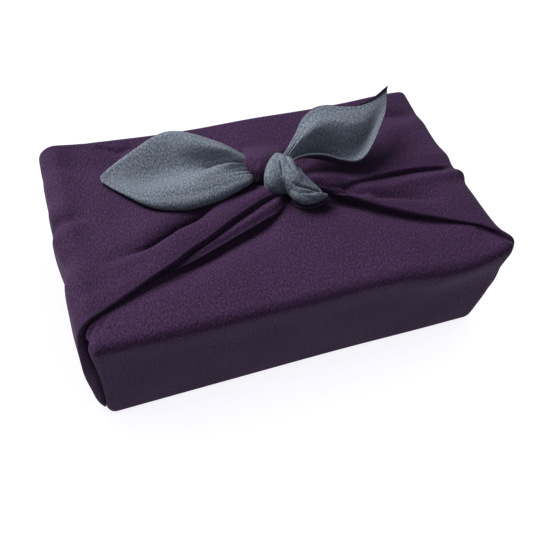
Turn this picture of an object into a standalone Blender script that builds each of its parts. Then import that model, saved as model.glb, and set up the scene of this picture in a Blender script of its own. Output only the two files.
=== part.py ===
"""Furoshiki wrap: one square of two-sided cloth tied round a rectangular box.

The cloth is one piece, so the wrap is one solid: the part drawn tight round the box, the left
and right flaps that are gathered over it, the knot on top and the two corners of the square,
which stand out from the knot as ears. Run it with blender --background --python part.py.

The long side lies along X, the front faces -Y and the origin is on the floor under the middle
of the box. Sizes are in metres; the tables are in millimetres, a row for each section or fold.
"""

import math

import bmesh
import bpy
import numpy as np

MM = 0.001

# The parcel
LENGTH = 250 * MM
WIDTH = 145 * MM
HEIGHT = 83.5 * MM
CORNER = 5.5 * MM  # the parcel's upright corners, in plan
SIDE_EDGE = 6 * MM  # the turn from the top to the left and right sides
FRONT_EDGE = 11 * MM  # softer at the front, where the cloth is loose
BACK_EDGE = 3.5 * MM
FOOT_EDGE = 4 * MM
KNOT = np.array((5, 10, 74)) * MM  # the grey strands turn about this point, under their top
NECK = np.array((0, 16, 64)) * MM  # and the purple one about this

# The cloth, thicker than it is so that its folds hold as a solid
EAR_THICK = 2.2 * MM
SUNK = 3 * MM  # how far a flap's hidden side reaches into what it lies on
LIP = 1.5 * MM  # how far a flap's border rolls outwards

# The meshes
CORNER_STEPS = 3
EDGE_STEPS = 4
LONG_STEPS = 16
SHORT_STEPS = 10
TOP_RINGS = 5
SIDE_RINGS = 6
FLAP_STEPS = 17
STRAND_SIDES = 12

FLAT_RUN = LENGTH / 2 - SIDE_EDGE  # along the cloth, from the middle to where the edge begins
EDGE_RUN = SIDE_EDGE * math.pi / 2
FULL_RUN = FLAT_RUN + EDGE_RUN + HEIGHT - SIDE_EDGE


def table(columns, *rows):
    """Named columns of millimetre sizes, turned to metres; columns in CAPITALS are plain numbers."""
    named = {}
    for index, name in enumerate(columns.split()):
        unit = 1 if name.isupper() else MM
        named[name.lower()] = np.array([row[index] for row in rows], float) * unit
    return named


# A flap's sections: run is measured along the cloth from the middle of the top, out over the
# edge and down the side. front and back are where its two borders lie. The rises are how far
# it stands off the box: at the front border, at the crest that lies crest_in behind that
# border, half way from there to the back border, and at the back border.
LEFT_FLAP = table(
    "run  front  back  lip_rise  crest_rise  crest_in  middle_rise  back_rise",
    (-8, -1, 5, 4.0, 6.0, 3, 6.0, 4.0),
    (0, -2, 11, 5.0, 8.0, 5, 7.5, 4.5),
    (8, -4, 18, 5.0, 8.2, 7, 6.5, 4.0),
    (18, -8, 26, 4.6, 7.6, 9, 4.6, 3.0),
    (33, -14.2, 37, 4.2, 6.6, 10, 3.2, 2.2),
    (47, -21.6, 47, 3.8, 5.8, 11, 2.6, 1.8),
    (60, -27, 55, 3.2, 5.2, 12, 2.2, 1.6),
    (79, -36, 64, 2.8, 4.6, 13, 2.0, 1.6),
    (98, -45.3, 69, 2.4, 3.8, 13, 2.2, 1.8),
    (109, -50.3, 70, 2.4, 3.6, 13, 3.0, 2.2),
    (120, -55.5, 70, 3.0, 4.0, 12, 4.8, 4.2),
    (130, -61.5, 70, 5.0, 5.4, 12, 6.2, 6.0),
    (146, -67.5, 70, 7.4, 7.2, 12, 7.0, 6.4),
    (175, -69, 70, 5.6, 5.2, 12, 5.6, 4.6),
    (196, -68, 69, 3.0, 2.8, 10, 3.0, 2.4),
    (206, -66, 68, 1.0, 0.8, 8, 0.5, 0.2),
)
RIGHT_FLAP = table(
    "run  front  back  lip_rise  crest_rise  crest_in  middle_rise  back_rise",
    (14, -1, 9, 4.0, 6.0, 3, 6.0, 4.0),
    (22, -2, 14, 4.6, 7.6, 4, 7.0, 4.5),
    (28, -4.5, 19, 4.6, 8.0, 4, 6.5, 4.0),
    (33, -9, 24, 4.0, 7.4, 4, 5.6, 3.4),
    (41, -13.4, 31, 3.4, 6.2, 4.5, 4.6, 2.8),
    (54, -21.3, 41, 3.0, 5.0, 4.5, 3.6, 2.2),
    (67, -28.4, 50, 2.8, 4.4, 4.5, 3.0, 2.0),
    (80, -35, 57, 2.6, 4.0, 4.5, 2.8, 1.6),
    (95, -43, 64, 2.2, 3.2, 5, 2.2, 1.4),
    (110, -50.7, 69, 1.8, 2.6, 6, 1.7, 1.1),
    (119, -57, 70, 1.8, 2.2, 6, 1.3, 1.0),
    (127, -62, 70, 1.8, 2.0, 6, 1.2, 1.0),
    (140, -66, 70, 1.8, 2.0, 8, 1.2, 1.0),
    (175, -67, 70, 1.6, 1.8, 8, 1.2, 1.0),
    (196, -67, 69, 1.2, 1.4, 8, 1.0, 0.8),
    (206, -66, 68, 0.4, 0.4, 6, 0.4, 0.2),
)

# The narrow fold that shows in front of the left flap, from the knot outwards
LEFT_TUCK = table(
    "run  front  back  lip_rise  crest_rise  crest_in  middle_rise  back_rise",
    (-6, -2.5, 2, 2.0, 2.6, 1.5, 2.6, 2.0),
    (-4.6, -5, 3, 3.0, 4.6, 2.5, 4.4, 3.0),
    (-1.5, -9.6, 3, 3.2, 5.2, 4, 5.0, 3.6),
    (3, -13, 1.5, 3.0, 5.2, 5, 5.0, 3.6),
    (9.4, -15.2, 0, 2.8, 4.8, 5, 4.6, 3.4),
    (18, -18.4, -4, 2.6, 4.4, 5, 4.2, 3.2),
    (29, -22.9, -9, 2.4, 3.8, 5, 3.6, 2.8),
    (42, -26.8, -15, 2.0, 3.0, 4, 2.8, 2.4),
    (53, -29.8, -21.6, 1.6, 2.2, 3, 2.2, 2.0),
    (61, -31.4, -26, 0.8, 1.0, 2, 1.0, 0.8),
)

# The folds in a flap, from first to last along the cloth: y at the first, at the top edge and
# at the last, how far the line bows between the first two, the depth at the three (below zero
# for a ridge), and how far the fold spreads to its front and to its back.
LEFT_FOLDS = table(
    "first last  y_first y_edge y_last bow  d_first d_edge d_last  to_front to_back",
    (20, 124, 12, -23, -24, -6, 3.4, 1.2, 0.0, 3.5, 11),
    (70, 128, -28, -40, -40, 0, 0.5, 0.7, 0.0, 5, 6),
    (100, 204, 7, 6, 0, 0, 0.4, 3.6, 1.0, 3, 5),
    (112, 204, -4, -4, -10, 0, -0.2, -1.2, -0.6, 5, 5),
    (112, 204, -27, -27, -36, 0, 0.6, 3.6, 1.6, 12, 12),
    (112, 204, 34, 32, 40, 0, 0.2, 0.8, 1.4, 7, 7),
    (60, 204, 40, 55, 60, 0, 1.2, 0.8, 1.2, 5, 7),
)
RIGHT_FOLDS = table(
    "first last  y_first y_edge y_last bow  d_first d_edge d_last  to_front to_back",
    (24, 150, 0, -3, -6, 0, 3.4, 1.8, 0.2, 4, 2.5),
    (44, 118, -5, -36, -36, 0, 2.0, 0.6, 0.0, 4, 6),
    (50, 140, 9, 7, 0, 0, -1.8, -1.4, -0.2, 6, 8),
    (66, 204, -12, -11, -24, 0, -0.4, -3.0, -0.6, 5, 4),
    (78, 150, 47, 50, 56, 0, 1.6, 0.4, 0.2, 6, 4),
    (84, 150, 36, 40, 42, 0, -1.4, -0.4, -0.2, 7, 6),
)

# Where the cloth stands out from the box or is drawn in: a soft push at x, y, z, which fades
# over the reaches given.
PUSHES = table(
    "x y z  reach_x reach_y reach_z  push_x push_y push_z",
    (-125, 36, 52, 20, 40, 34, -2.0, 0, 0),
    (-110, 74, 84, 36, 16, 20, 0, 1.4, 2.4),
    (108, 74, 84, 26, 14, 16, 0, 0.8, 1.6),
    (127, -72, 38, 16, 22, 34, 9.0, -1.0, 0),
    (127, -71, 84, 12, 9, 10, 6.4, -2.0, 3.4),
    (0, -72, 45, 90, 14, 30, 0, -1.4, 0),
    (20, 72, 45, 90, 14, 30, 0, 1.6, 0),
    (-60, -40, 83, 50, 30, 12, 0, 0, 0.8),
    (60, -50, 83, 55, 24, 12, 0, 0, 0.6),
)

# The knot's strands: a centre line, a row for each section, with its breadth and thickness.
PURPLE_NECK = table(
    "x y z  broad thick",
    (4, 48, 81, 30, 4),
    (3, 41, 86.5, 29, 6),
    (0.5, 33, 91, 25, 8),
    (-3, 25.5, 93.8, 19.5, 9),
    (-5.5, 17.5, 94.5, 15.5, 9),
    (-5, 10.5, 92.6, 13.5, 8.5),
    (-2.6, 5, 87.5, 11, 7),
)
GREY_WRAP = table(
    "x y z  broad thick",
    (10, 26, 88, 7, 6),
    (9, 24, 95.5, 8, 8),
    (6, 19.5, 99.6, 9.5, 9),
    (3.6, 14.5, 101, 10.5, 9.5),
    (2, 9.5, 100.2, 10.6, 9.5),
    (2.2, 5.4, 97, 11, 9),
    (4.4, 3.4, 92, 10.5, 8.5),
    (7, 4, 86, 8, 7),
)
GREY_STRAP = table(
    "x y z  broad thick",
    (13, 27, 88, 6, 6),
    (13, 23.5, 96, 7, 8),
    (12, 18, 100.6, 7.6, 9),
    (10.8, 12.5, 102, 9.2, 9),
    (10, 7.5, 101.4, 11, 9),
    (10.8, 3, 99.6, 12, 9),
    (13.6, -0.6, 97.2, 10.5, 8.5),
    (17, -2.8, 95, 9, 7.6),
    (20.4, -4.2, 93, 7.4, 6.6),
    (24, -5.8, 91, 5.6, 5.4),
    (27, -7.2, 89.4, 3.4, 4),
    (29.2, -8.2, 88.2, 1.6, 2.4),
)
GREY_TAIL = table(
    "x y z  broad thick",
    (10, -2.5, 93, 7, 5),
    (12.4, -5.4, 91.4, 8, 6),
    (15.4, -7.8, 90, 8, 6),
    (18.8, -9, 88.8, 7, 5.4),
    (22.4, -9.7, 88, 5.6, 4.6),
    (26.4, -9.8, 87.4, 3.8, 3.6),
    (30.4, -9, 87, 1.6, 2),
)
PURPLE_RIM = table(
    "x y z  broad thick",
    (11.5, -5, 88, 6, 2),
    (14, -8.6, 86.6, 8, 2.2),
    (17.6, -10.2, 85.6, 8, 2.4),
    (22, -10.2, 85.4, 7, 2.2),
    (26.6, -9.6, 85.8, 5, 2),
    (31.6, -7.8, 86.6, 2, 1.6),
)

# The ears, from the knot to the tip: their back and front edges, how deep the hollow between
# them is and where it lies from back to front, and how far each edge curls under.
LEFT_EAR = table(
    "back_x back_y back_z  front_x front_y front_z  hollow HOLLOW_AT  back_curl front_curl",
    (-4, 27, 91, -3, 15, 91, 2, 0.50, 1.0, 1.0),
    (-12, 33, 93.5, -12, 9, 94, 5.0, 0.40, 1.6, 2.0),
    (-20, 40, 95.5, -22, 4.5, 94.5, 6.5, 0.36, 1.8, 2.6),
    (-28, 46.5, 96, -32, 1, 94, 6.5, 0.36, 1.6, 2.8),
    (-36, 53, 96, -43, -0.5, 93.5, 6.0, 0.38, 1.0, 2.6),
    (-44, 58.7, 95, -54, -0.5, 92.8, 5.0, 0.42, 0.5, 2.4),
    (-53, 61, 94, -63, 1.5, 92, 4.2, 0.46, 0, 2.0),
    (-63, 59, 92.5, -71, 4, 91, 3.4, 0.50, 0, 1.2),
    (-73, 54.3, 91, -78, 9, 90.2, 2.6, 0.50, 0, 0.4),
    (-83.5, 48.8, 89.8, -85, 18, 89.4, 1.8, 0.50, 0, 0),
    (-92, 43.4, 89, -91.5, 27, 88.8, 0.9, 0.50, 0, 0),
    (-97.5, 39, 88.6, -97.6, 36, 88.6, 0, 0.50, 0, 0),
)
RIGHT_EAR = table(
    "back_x back_y back_z  front_x front_y front_z  hollow HOLLOW_AT  back_curl front_curl",
    (9, 20, 97, 11, 12, 96, 1, 0.5, 0.6, 0),
    (14, 22, 102, 17, 15, 99.5, 2.5, 0.55, 1.0, 0),
    (21, 28, 106, 23.5, 15, 101, 4.5, 0.64, 1.0, 0),
    (28.5, 36, 110, 30, 13.4, 102, 6.5, 0.68, 0.6, 0),
    (37, 40.6, 112, 37.5, 11, 101.5, 8.0, 0.70, 0, 0),
    (46.5, 41.3, 112.3, 45, 6.7, 100.5, 8.0, 0.71, 0, 0),
    (58.4, 38.6, 111.5, 54, 3.8, 100, 6.5, 0.70, 0, 0),
    (68.7, 38.8, 111, 61, 6, 101, 5.0, 0.66, 0, 0),
    (77, 40.6, 112, 68.5, 12.5, 103.5, 4.0, 0.60, 0, 0),
    (83, 43, 113.2, 76, 21, 107, 2.8, 0.54, 0, 0),
    (87.5, 45, 114.6, 83, 30, 110.2, 1.6, 0.5, 0, 0),
    (90.6, 46, 116, 89.2, 43, 114.4, 0, 0.5, 0, 0),
)

# The pleats at each ear's root: where one lies from back (0) to front (1) at the root and where
# it ends, how far along the ear it reaches, how deep it is at the root and how wide it spreads.
LEFT_PLEATS = table(
    "AT_ROOT AT_END REACH depth SPREAD",
    (0.10, 0.12, 0.50, -1.6, 0.06),
    (0.25, 0.27, 0.62, 4.0, 0.08),
    (0.46, 0.56, 0.60, -2.4, 0.14),
    (0.64, 0.55, 0.30, 1.5, 0.05),
    (0.80, 0.74, 0.40, 1.8, 0.05),
)
RIGHT_PLEATS = table(
    "AT_ROOT AT_END REACH depth SPREAD",
    (0.36, 0.30, 0.40, 1.4, 0.08),
    (0.80, 0.78, 0.50, 1.4, 0.08),
)


def smooth(key, value, at):
    """The value at `at` on a smooth curve through the rows."""
    at = np.clip(at, key[0], key[-1])
    slope = np.gradient(value, key)
    low = np.clip(np.searchsorted(key, at) - 1, 0, len(key) - 2)
    step = key[low + 1] - key[low]
    t = (at - key[low]) / step
    return (
        (1 + 2 * t) * (1 - t) ** 2 * value[low]
        + t * (1 - t) ** 2 * step * slope[low]
        + t * t * (3 - 2 * t) * value[low + 1]
        + t * t * (t - 1) * step * slope[low + 1]
    )


def ease(t):
    """From 0 to 1 with level ends."""
    t = np.clip(t, 0, 1)
    return t * t * (3 - 2 * t)


def pushed(points):
    """The points moved by every soft push."""
    points = np.asarray(points, float)
    moved = points.copy()
    for row in zip(*PUSHES.values()):
        centre, reach, push = np.array(row[0:3]), np.array(row[3:6]), np.array(row[6:9])
        fade = np.exp(-(((points - centre) / reach) ** 2).sum(axis=-1))
        moved += fade[..., None] * push
    # What the floor carries stays level.
    moved[..., 2] = np.where(points[..., 2] <= 0, points[..., 2], moved[..., 2])
    return moved


def solid_of(name, rings, first=None, last=None):
    """A closed solid through rings of equal length, ended by a point or by a flat face."""
    mesh = bmesh.new()
    loops = [[mesh.verts.new(point) for point in ring] for ring in rings]
    count = len(loops[0])
    for low, high in zip(loops, loops[1:]):
        for i in range(count):
            j = (i + 1) % count
            mesh.faces.new((low[i], low[j], high[j], high[i]))
    for loop, end in ((loops[0], first), (loops[-1], last)):
        if end is None:
            mesh.faces.new(loop)
            continue
        tip = mesh.verts.new(end)
        for i in range(count):
            mesh.faces.new((loop[i], loop[(i + 1) % count], tip))
    bmesh.ops.recalc_face_normals(mesh, faces=mesh.faces)
    data = bpy.data.meshes.new(name)
    mesh.to_mesh(data)
    mesh.free()
    solid = bpy.data.objects.new(name, data)
    bpy.context.scene.collection.objects.link(solid)
    return solid


def outline(at_side, at_front, at_back):
    """The parcel's outline in plan, drawn in at its sides, front and back, from the front left."""
    radius = max(CORNER - max(at_side, at_front, at_back), 0.6 * MM)
    left, right = at_side + radius - LENGTH / 2, LENGTH / 2 - at_side - radius
    front, back = at_front + radius - WIDTH / 2, WIDTH / 2 - at_back - radius
    corners = ((left, front, 180), (right, front, 270), (right, back, 0), (left, back, 90))
    steps = (LONG_STEPS, SHORT_STEPS, LONG_STEPS, SHORT_STEPS)
    arcs = []
    for x, y, start in corners:
        angles = np.radians(start + 90 * np.arange(CORNER_STEPS + 1) / CORNER_STEPS)
        arcs.append(np.column_stack((x + radius * np.cos(angles), y + radius * np.sin(angles))))
    points = []
    for index, arc in enumerate(arcs):
        following = arcs[(index + 1) % 4][0]
        share = np.arange(1, steps[index])[:, None] / steps[index]
        points += [arc, arc[-1] + (following - arc[-1]) * share]
    return np.concatenate(points)


def edge_radii():
    """How far the top turns down at each point of the outline."""
    plan = outline(0, 0, 0)
    to_side = LENGTH / 2 - np.abs(plan[:, 0])
    to_front, to_back = plan[:, 1] + WIDTH / 2, WIDTH / 2 - plan[:, 1]
    nearness = 1 / (np.stack((to_side, to_front, to_back)) + 1 * MM) ** 2
    radii = np.array((SIDE_EDGE, FRONT_EDGE, BACK_EDGE))
    return (nearness * radii[:, None]).sum(axis=0) / nearness.sum(axis=0)


def make_core():
    """The cloth drawn tight round the box: the front flap, the top, the back and the bottom."""
    middle = KNOT[:2]
    inner = outline(SIDE_EDGE, FRONT_EDGE, BACK_EDGE)
    radii = edge_radii()

    def ring(plan, z):
        return pushed(np.column_stack((plan, z + np.zeros(len(plan)))))

    rings = [ring(middle + (inner - middle) * k / TOP_RINGS, HEIGHT) for k in range(1, TOP_RINGS)]
    for k in range(EDGE_STEPS + 1):
        angle = math.pi / 2 * k / EDGE_STEPS
        inset = 1 - math.sin(angle)
        plan = outline(SIDE_EDGE * inset, FRONT_EDGE * inset, BACK_EDGE * inset)
        rings.append(ring(plan, HEIGHT - radii * (1 - math.cos(angle))))
    for k in range(1, SIDE_RINGS + 1):
        share = k / SIDE_RINGS
        rings.append(ring(outline(0, 0, 0), (HEIGHT - radii) * (1 - share) + FOOT_EDGE * share))
    for k in (1, 2):
        angle = math.pi / 4 * k
        inset = FOOT_EDGE * (1 - math.cos(angle))
        rings.append(ring(outline(inset, inset, inset), FOOT_EDGE * (1 - math.sin(angle))))
    top = pushed((*middle, HEIGHT))
    return solid_of("furoshiki_wrap", rings, top, (0, 0, 0))


def on_side(side, run, y, rise):
    """The place at `run` along the cloth and `rise` off the box, on the left (-1) or right (1)."""
    turn = np.clip((run - FLAT_RUN) / SIDE_EDGE, 0, math.pi / 2)
    out = np.minimum(run, FLAT_RUN) + SIDE_EDGE * np.sin(turn) + rise * np.sin(turn)
    down = SIDE_EDGE * (1 - np.cos(turn)) + np.maximum(run - FLAT_RUN - EDGE_RUN, 0)
    return pushed(np.stack((side * out, y, HEIGHT - down + rise * np.cos(turn)), axis=-1))


def folds_at(folds, run, y):
    """How far the folds lower the cloth here."""
    lowered = np.zeros(len(y))
    for row in zip(*folds.values()):
        first, last, y_first, y_edge, y_last, bow, d_first, d_edge, d_last, front, back = row
        stops = (first, min(LENGTH / 2, last), last)
        line = np.interp(run, stops, (y_first, y_edge, y_last))
        line += bow * math.sin(math.pi * min(max((run - first) / (stops[1] - first), 0), 1))
        depth = np.interp(run, stops, (d_first, d_edge, d_last))
        fade = ease((run - first) / (14 * MM)) * ease((last - run) / (8 * MM))
        wide = np.where(y < line, front, back)
        lowered += depth * fade * np.exp(-(((y - line) / wide) ** 2))
    return lowered


def make_flap(name, side, sections, folds, runs):
    """A gathered flap: rolled along its two borders, sunk a little into what it lies on."""
    across = np.linspace(0, 1, FLAP_STEPS)
    turns = np.radians((40, 90, 140))
    rings = []
    for run in runs:
        at = {column: smooth(sections["run"], sizes, run) for column, sizes in sections.items()}
        y = at["front"] + LIP + (at["back"] - at["front"] - 2 * LIP) * across
        inwards = y - y[0]
        crest = min(at["crest_in"], inwards[-1] / 3)
        rise = smooth(
            np.array((0, crest, (crest + inwards[-1]) / 2, inwards[-1])),
            np.array((at["lip_rise"], at["crest_rise"], at["middle_rise"], at["back_rise"])),
            inwards,
        )
        if folds is not None:
            hold = ease(across * 8) * ease((1 - across) * 8)
            rise = np.maximum(rise - folds_at(folds, run, y) * hold, 0.6 * MM)
        back_y, front_y = y[-1] + LIP * np.sin(turns), y[0] - LIP * np.sin(turns[::-1])
        back_up = rise[-1] / 2 * (1 + np.cos(turns))
        front_up = rise[0] / 2 * (1 + np.cos(turns[::-1]))
        under_y = np.linspace(y[-1], y[0], 5)
        ring_y = np.concatenate((y, back_y, under_y, front_y))
        ring_up = np.concatenate((rise, back_up, np.full(5, -SUNK), front_up))
        rings.append(on_side(side, np.full(len(ring_y), run), ring_y, ring_up))
    return solid_of(name, rings)


def squared(share):
    """The share of a half size, drawn towards its ends so that a round becomes a fuller one."""
    return np.sign(share) * np.abs(share) ** 0.8


def make_strand(name, rows, sections, heart=KNOT):
    """A strand of the knot: a flattened roll of cloth along its centre line."""
    key = np.arange(len(rows["x"]), dtype=float)
    at = np.linspace(0, key[-1], sections)
    line = np.column_stack([smooth(key, rows[axis], at) for axis in "xyz"])
    broad, thick = smooth(key, rows["broad"], at), smooth(key, rows["thick"], at)
    along = np.gradient(line, axis=0)
    along /= np.linalg.norm(along, axis=1)[:, None]
    angles = np.linspace(0, 2 * math.pi, STRAND_SIDES, endpoint=False)
    rings = []
    for i in range(sections):
        out = line[i] - heart
        out -= along[i] * out.dot(along[i])
        out /= np.linalg.norm(out)
        wide = np.cross(along[i], out)
        a, b = broad[i] / 2 * squared(np.cos(angles)), thick[i] / 2 * squared(np.sin(angles))
        rings.append(line[i] + np.outer(a, wide) + np.outer(b, out))
    return solid_of(name, rings)


def pleats_at(pleats, along, across):
    """How far the pleats lower the ear at this share of its length."""
    lowered = np.zeros(len(across))
    for at_root, at_end, reach, depth, spread in zip(*pleats.values()):
        line = at_root + (at_end - at_root) * along / reach
        lowered += depth * ease(1 - along / reach) * np.exp(-(((across - line) / spread) ** 2))
    return lowered * ease(across * 8) * ease((1 - across) * 8)


def make_ear(name, rows, pleats, lengths, widths):
    """A corner of the square: a thin hollowed leaf whose edges turn down where they curl."""
    key = np.arange(len(rows["back_x"]), dtype=float)
    at = np.linspace(0, key[-1], lengths)
    value = {column: smooth(key, sizes, at) for column, sizes in rows.items()}
    back = np.column_stack([value["back_" + axis] for axis in "xyz"])
    front = np.column_stack([value["front_" + axis] for axis in "xyz"])
    across = np.linspace(0, 1, widths)
    down = np.array((0, 0, -1))
    rings = []
    for i in range(lengths):
        bend = across ** (math.log(0.5) / math.log(value["hollow_at"][i]))
        row = back[i] + np.outer(across, front[i] - back[i])
        row[:, 2] -= value["hollow"][i] * np.sin(math.pi * bend) ** 1.3
        row[:, 2] -= pleats_at(pleats, i / (lengths - 1), across)
        way = (front[i] - back[i]) / np.linalg.norm(front[i] - back[i])
        rims = []
        for edge, out, curl in ((row[0], -way, "back_curl"), (row[-1], way, "front_curl")):
            size = max(value[curl][i], 0.8 * MM)
            rims.append([edge + out * size * a + down * size * b for a, b in ((0.7, 0.3), (0.95, 0.95))])
        under = row[::-1] + down * EAR_THICK
        rings.append(np.concatenate((rims[0][::-1], row, rims[1], under)))
    return solid_of(name, rings)


def flap_runs(sections):
    """Where a flap has its sections: closer over the edge, and ending just above the floor."""
    top = np.linspace(sections["run"][0], FLAT_RUN - 2 * MM, 14)
    edge = FLAT_RUN + EDGE_RUN * np.linspace(0.1, 1, 4)
    side = np.linspace(FLAT_RUN + EDGE_RUN, FULL_RUN - 1.2 * MM, 8)[1:]
    return np.concatenate((top, edge, side))


def crepe(name, hex_colour, roughness):
    """Matt crepe cloth in one colour."""
    channels = [int(hex_colour[i : i + 2], 16) / 255 for i in (0, 2, 4)]
    linear = [c / 12.92 if c <= 0.04045 else ((c + 0.055) / 1.055) ** 2.4 for c in channels]
    material = bpy.data.materials.new(name)
    material.use_nodes = True
    shader = material.node_tree.nodes["Principled BSDF"]
    shader.inputs["Base Color"].default_value = (*linear, 1)
    shader.inputs["Roughness"].default_value = roughness
    return material


def join(target, others):
    """Joins the others to the target, and keeps them as helpers that aren't drawn."""
    for other in others:
        modifier = target.modifiers.new(other.name, "BOOLEAN")
        modifier.operation = "UNION"
        modifier.solver = "EXACT"
        modifier.object = other
        other.hide_render = True
        other.hide_set(True)
        other.display_type = "WIRE"


def main():
    for old in list(bpy.data.objects):
        bpy.data.objects.remove(old, do_unlink=True)
    purple = crepe("purple_crepe", "45304B", 0.8)
    grey = crepe("grey_crepe", "737883", 0.8)
    wrap = make_core()
    pieces = [
        make_flap("left_flap", -1, LEFT_FLAP, LEFT_FOLDS, flap_runs(LEFT_FLAP)),
        make_flap("right_flap", 1, RIGHT_FLAP, RIGHT_FOLDS, flap_runs(RIGHT_FLAP)),
        make_flap("left_tuck", -1, LEFT_TUCK, None, LEFT_TUCK["run"]),
        make_ear("left_ear", LEFT_EAR, LEFT_PLEATS, 18, 15),
        make_ear("right_ear", RIGHT_EAR, RIGHT_PLEATS, 18, 13),
        make_strand("purple_neck", PURPLE_NECK, 12, NECK),
        make_strand("purple_rim", PURPLE_RIM, 8),
        make_strand("grey_tail", GREY_TAIL, 9),
        make_strand("grey_wrap", GREY_WRAP, 12),
        make_strand("grey_strap", GREY_STRAP, 14),
    ]
    wrap.data.materials.append(purple)
    for piece in pieces:
        piece.data.materials.append(grey if "grey" in piece.name or "ear" in piece.name else purple)
    join(wrap, pieces)
    for face in wrap.data.polygons:
        face.use_smooth = True


main()
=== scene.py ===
"""Furoshiki wrap: one square of two-sided crepe tied round a box, purple outside and grey inside.

The file is laid out as a Blender add-on and is run as a script. The cloth is drawn tight round
the box. Its left and right corners are gathered over the top and tied in a knot, from which
their ends stand out as two leaf-like ears.

The long side lies along X, the front faces -Y and the origin is on the floor under the middle
of the box. Sizes are in metres; the tables are in millimetres, a row for each section or fold.
"""

import math

import bmesh
import bpy
import numpy as np
from bpy.props import FloatProperty, FloatVectorProperty, PointerProperty
from mathutils import Matrix
from mathutils.kdtree import KDTree


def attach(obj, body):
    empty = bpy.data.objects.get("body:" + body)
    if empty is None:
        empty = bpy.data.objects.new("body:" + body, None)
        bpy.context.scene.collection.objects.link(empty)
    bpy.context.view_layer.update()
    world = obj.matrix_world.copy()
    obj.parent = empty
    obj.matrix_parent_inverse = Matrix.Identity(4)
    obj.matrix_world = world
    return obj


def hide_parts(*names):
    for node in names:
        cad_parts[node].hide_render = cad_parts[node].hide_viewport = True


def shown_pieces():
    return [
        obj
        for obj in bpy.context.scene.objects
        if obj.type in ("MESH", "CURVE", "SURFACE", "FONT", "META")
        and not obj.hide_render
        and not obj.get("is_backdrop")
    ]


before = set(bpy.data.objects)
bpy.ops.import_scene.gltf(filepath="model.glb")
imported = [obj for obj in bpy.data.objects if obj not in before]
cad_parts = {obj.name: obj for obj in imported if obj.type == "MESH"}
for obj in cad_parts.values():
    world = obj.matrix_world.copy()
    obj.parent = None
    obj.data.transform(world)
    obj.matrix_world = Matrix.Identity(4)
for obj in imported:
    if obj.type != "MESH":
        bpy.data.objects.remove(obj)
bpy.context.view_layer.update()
CAD_NODE = "furoshiki_wrap"

bl_info = {
    "name": "Furoshiki wrap",
    "version": (1, 0, 0),
    "blender": (4, 5, 0),
    "location": "3D View > Sidebar > Wrap",
    "description": "A parcel wrapped in a square of two-sided crepe",
    "category": "Object",
}

MM = 0.001

KNOT = np.array((5, 10, 40)) * MM  # the grey strands turn about this point, under their top
NECK = np.array((0, 16, 50)) * MM  # the purple one about this
STRAP = np.array((15, -5, 40)) * MM  # and the strap, which lies flatter, about this
FLAP_SUNK = 8 * MM  # how far a flap's hidden side reaches into what it lies on
TUCK_SUNK = 3 * MM  # and the tuck's
LEAST_RISE = 0.6 * MM  # how far a flap stands off the box where it lies closest
LIP = 1.5 * MM  # how far a flap's border rolls outwards
BEFORE_EDGE = 2 * MM  # between a flap's last section on the top and the turn of the edge
FLAP_CLEARANCE = 1.2 * MM  # between a flap's end and the floor
FOLD_START = 14 * MM  # over which a fold deepens from its first end
FOLD_END = 8 * MM  # and over which it runs out at its last
LOWERED_WIDER = 2.5  # how many millimetres wider a crease is in the cloth below
LOWERED_SHARE = 0.8  # and how deep it is there, as a share of the one above
WAVES = 9  # how many soft waves together make a piece uneven
STILL_FOOT = 2 * MM  # how high above the floor the waves begin
WAVES_GROW = 14 * MM  # and over what height they reach their full size
LEAST_CORNER = 0.6 * MM  # the sharpest upright corner
LEAST_CURL = 0.8 * MM  # the sharpest turn of an ear's edge
KNOT_VOXEL = 0.42 * MM  # how finely the strands of the knot are joined
KNOT_EASING = 4  # and how many times they are smoothed then

# How finely each piece is cut up. Steps go round a section, and rings are sections in a row.
CORNER_STEPS = 8
LONG_STEPS = 196
SHORT_STEPS = 112
TOP_RINGS = 66
EDGE_RINGS = 12
SIDE_RINGS = 40
FOOT_RINGS = 5
FLAP_STEPS = 230
FLAP_UNDER_STEPS = 14
FLAP_BORDER_STEPS = 11
FLAP_TOP_RINGS = 110
FLAP_EDGE_RINGS = 12
FLAP_SIDE_RINGS = 46
TUCK_RINGS = 70
STRAND_STEPS = 44
EAR_STEPS = 100
EAR_RINGS = 140
RIM_STEPS = 6
CREASE_STEPS = 24  # for each point of a crease's line


def table(columns, *rows):
    """Named columns of millimetre sizes, turned to metres; CAPITAL ones hold plain numbers."""
    named = {}
    for index, name in enumerate(columns.split()):
        unit = 1 if name.isupper() else MM
        named[name.lower()] = np.array([row[index] for row in rows], float) * unit
    return named


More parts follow.
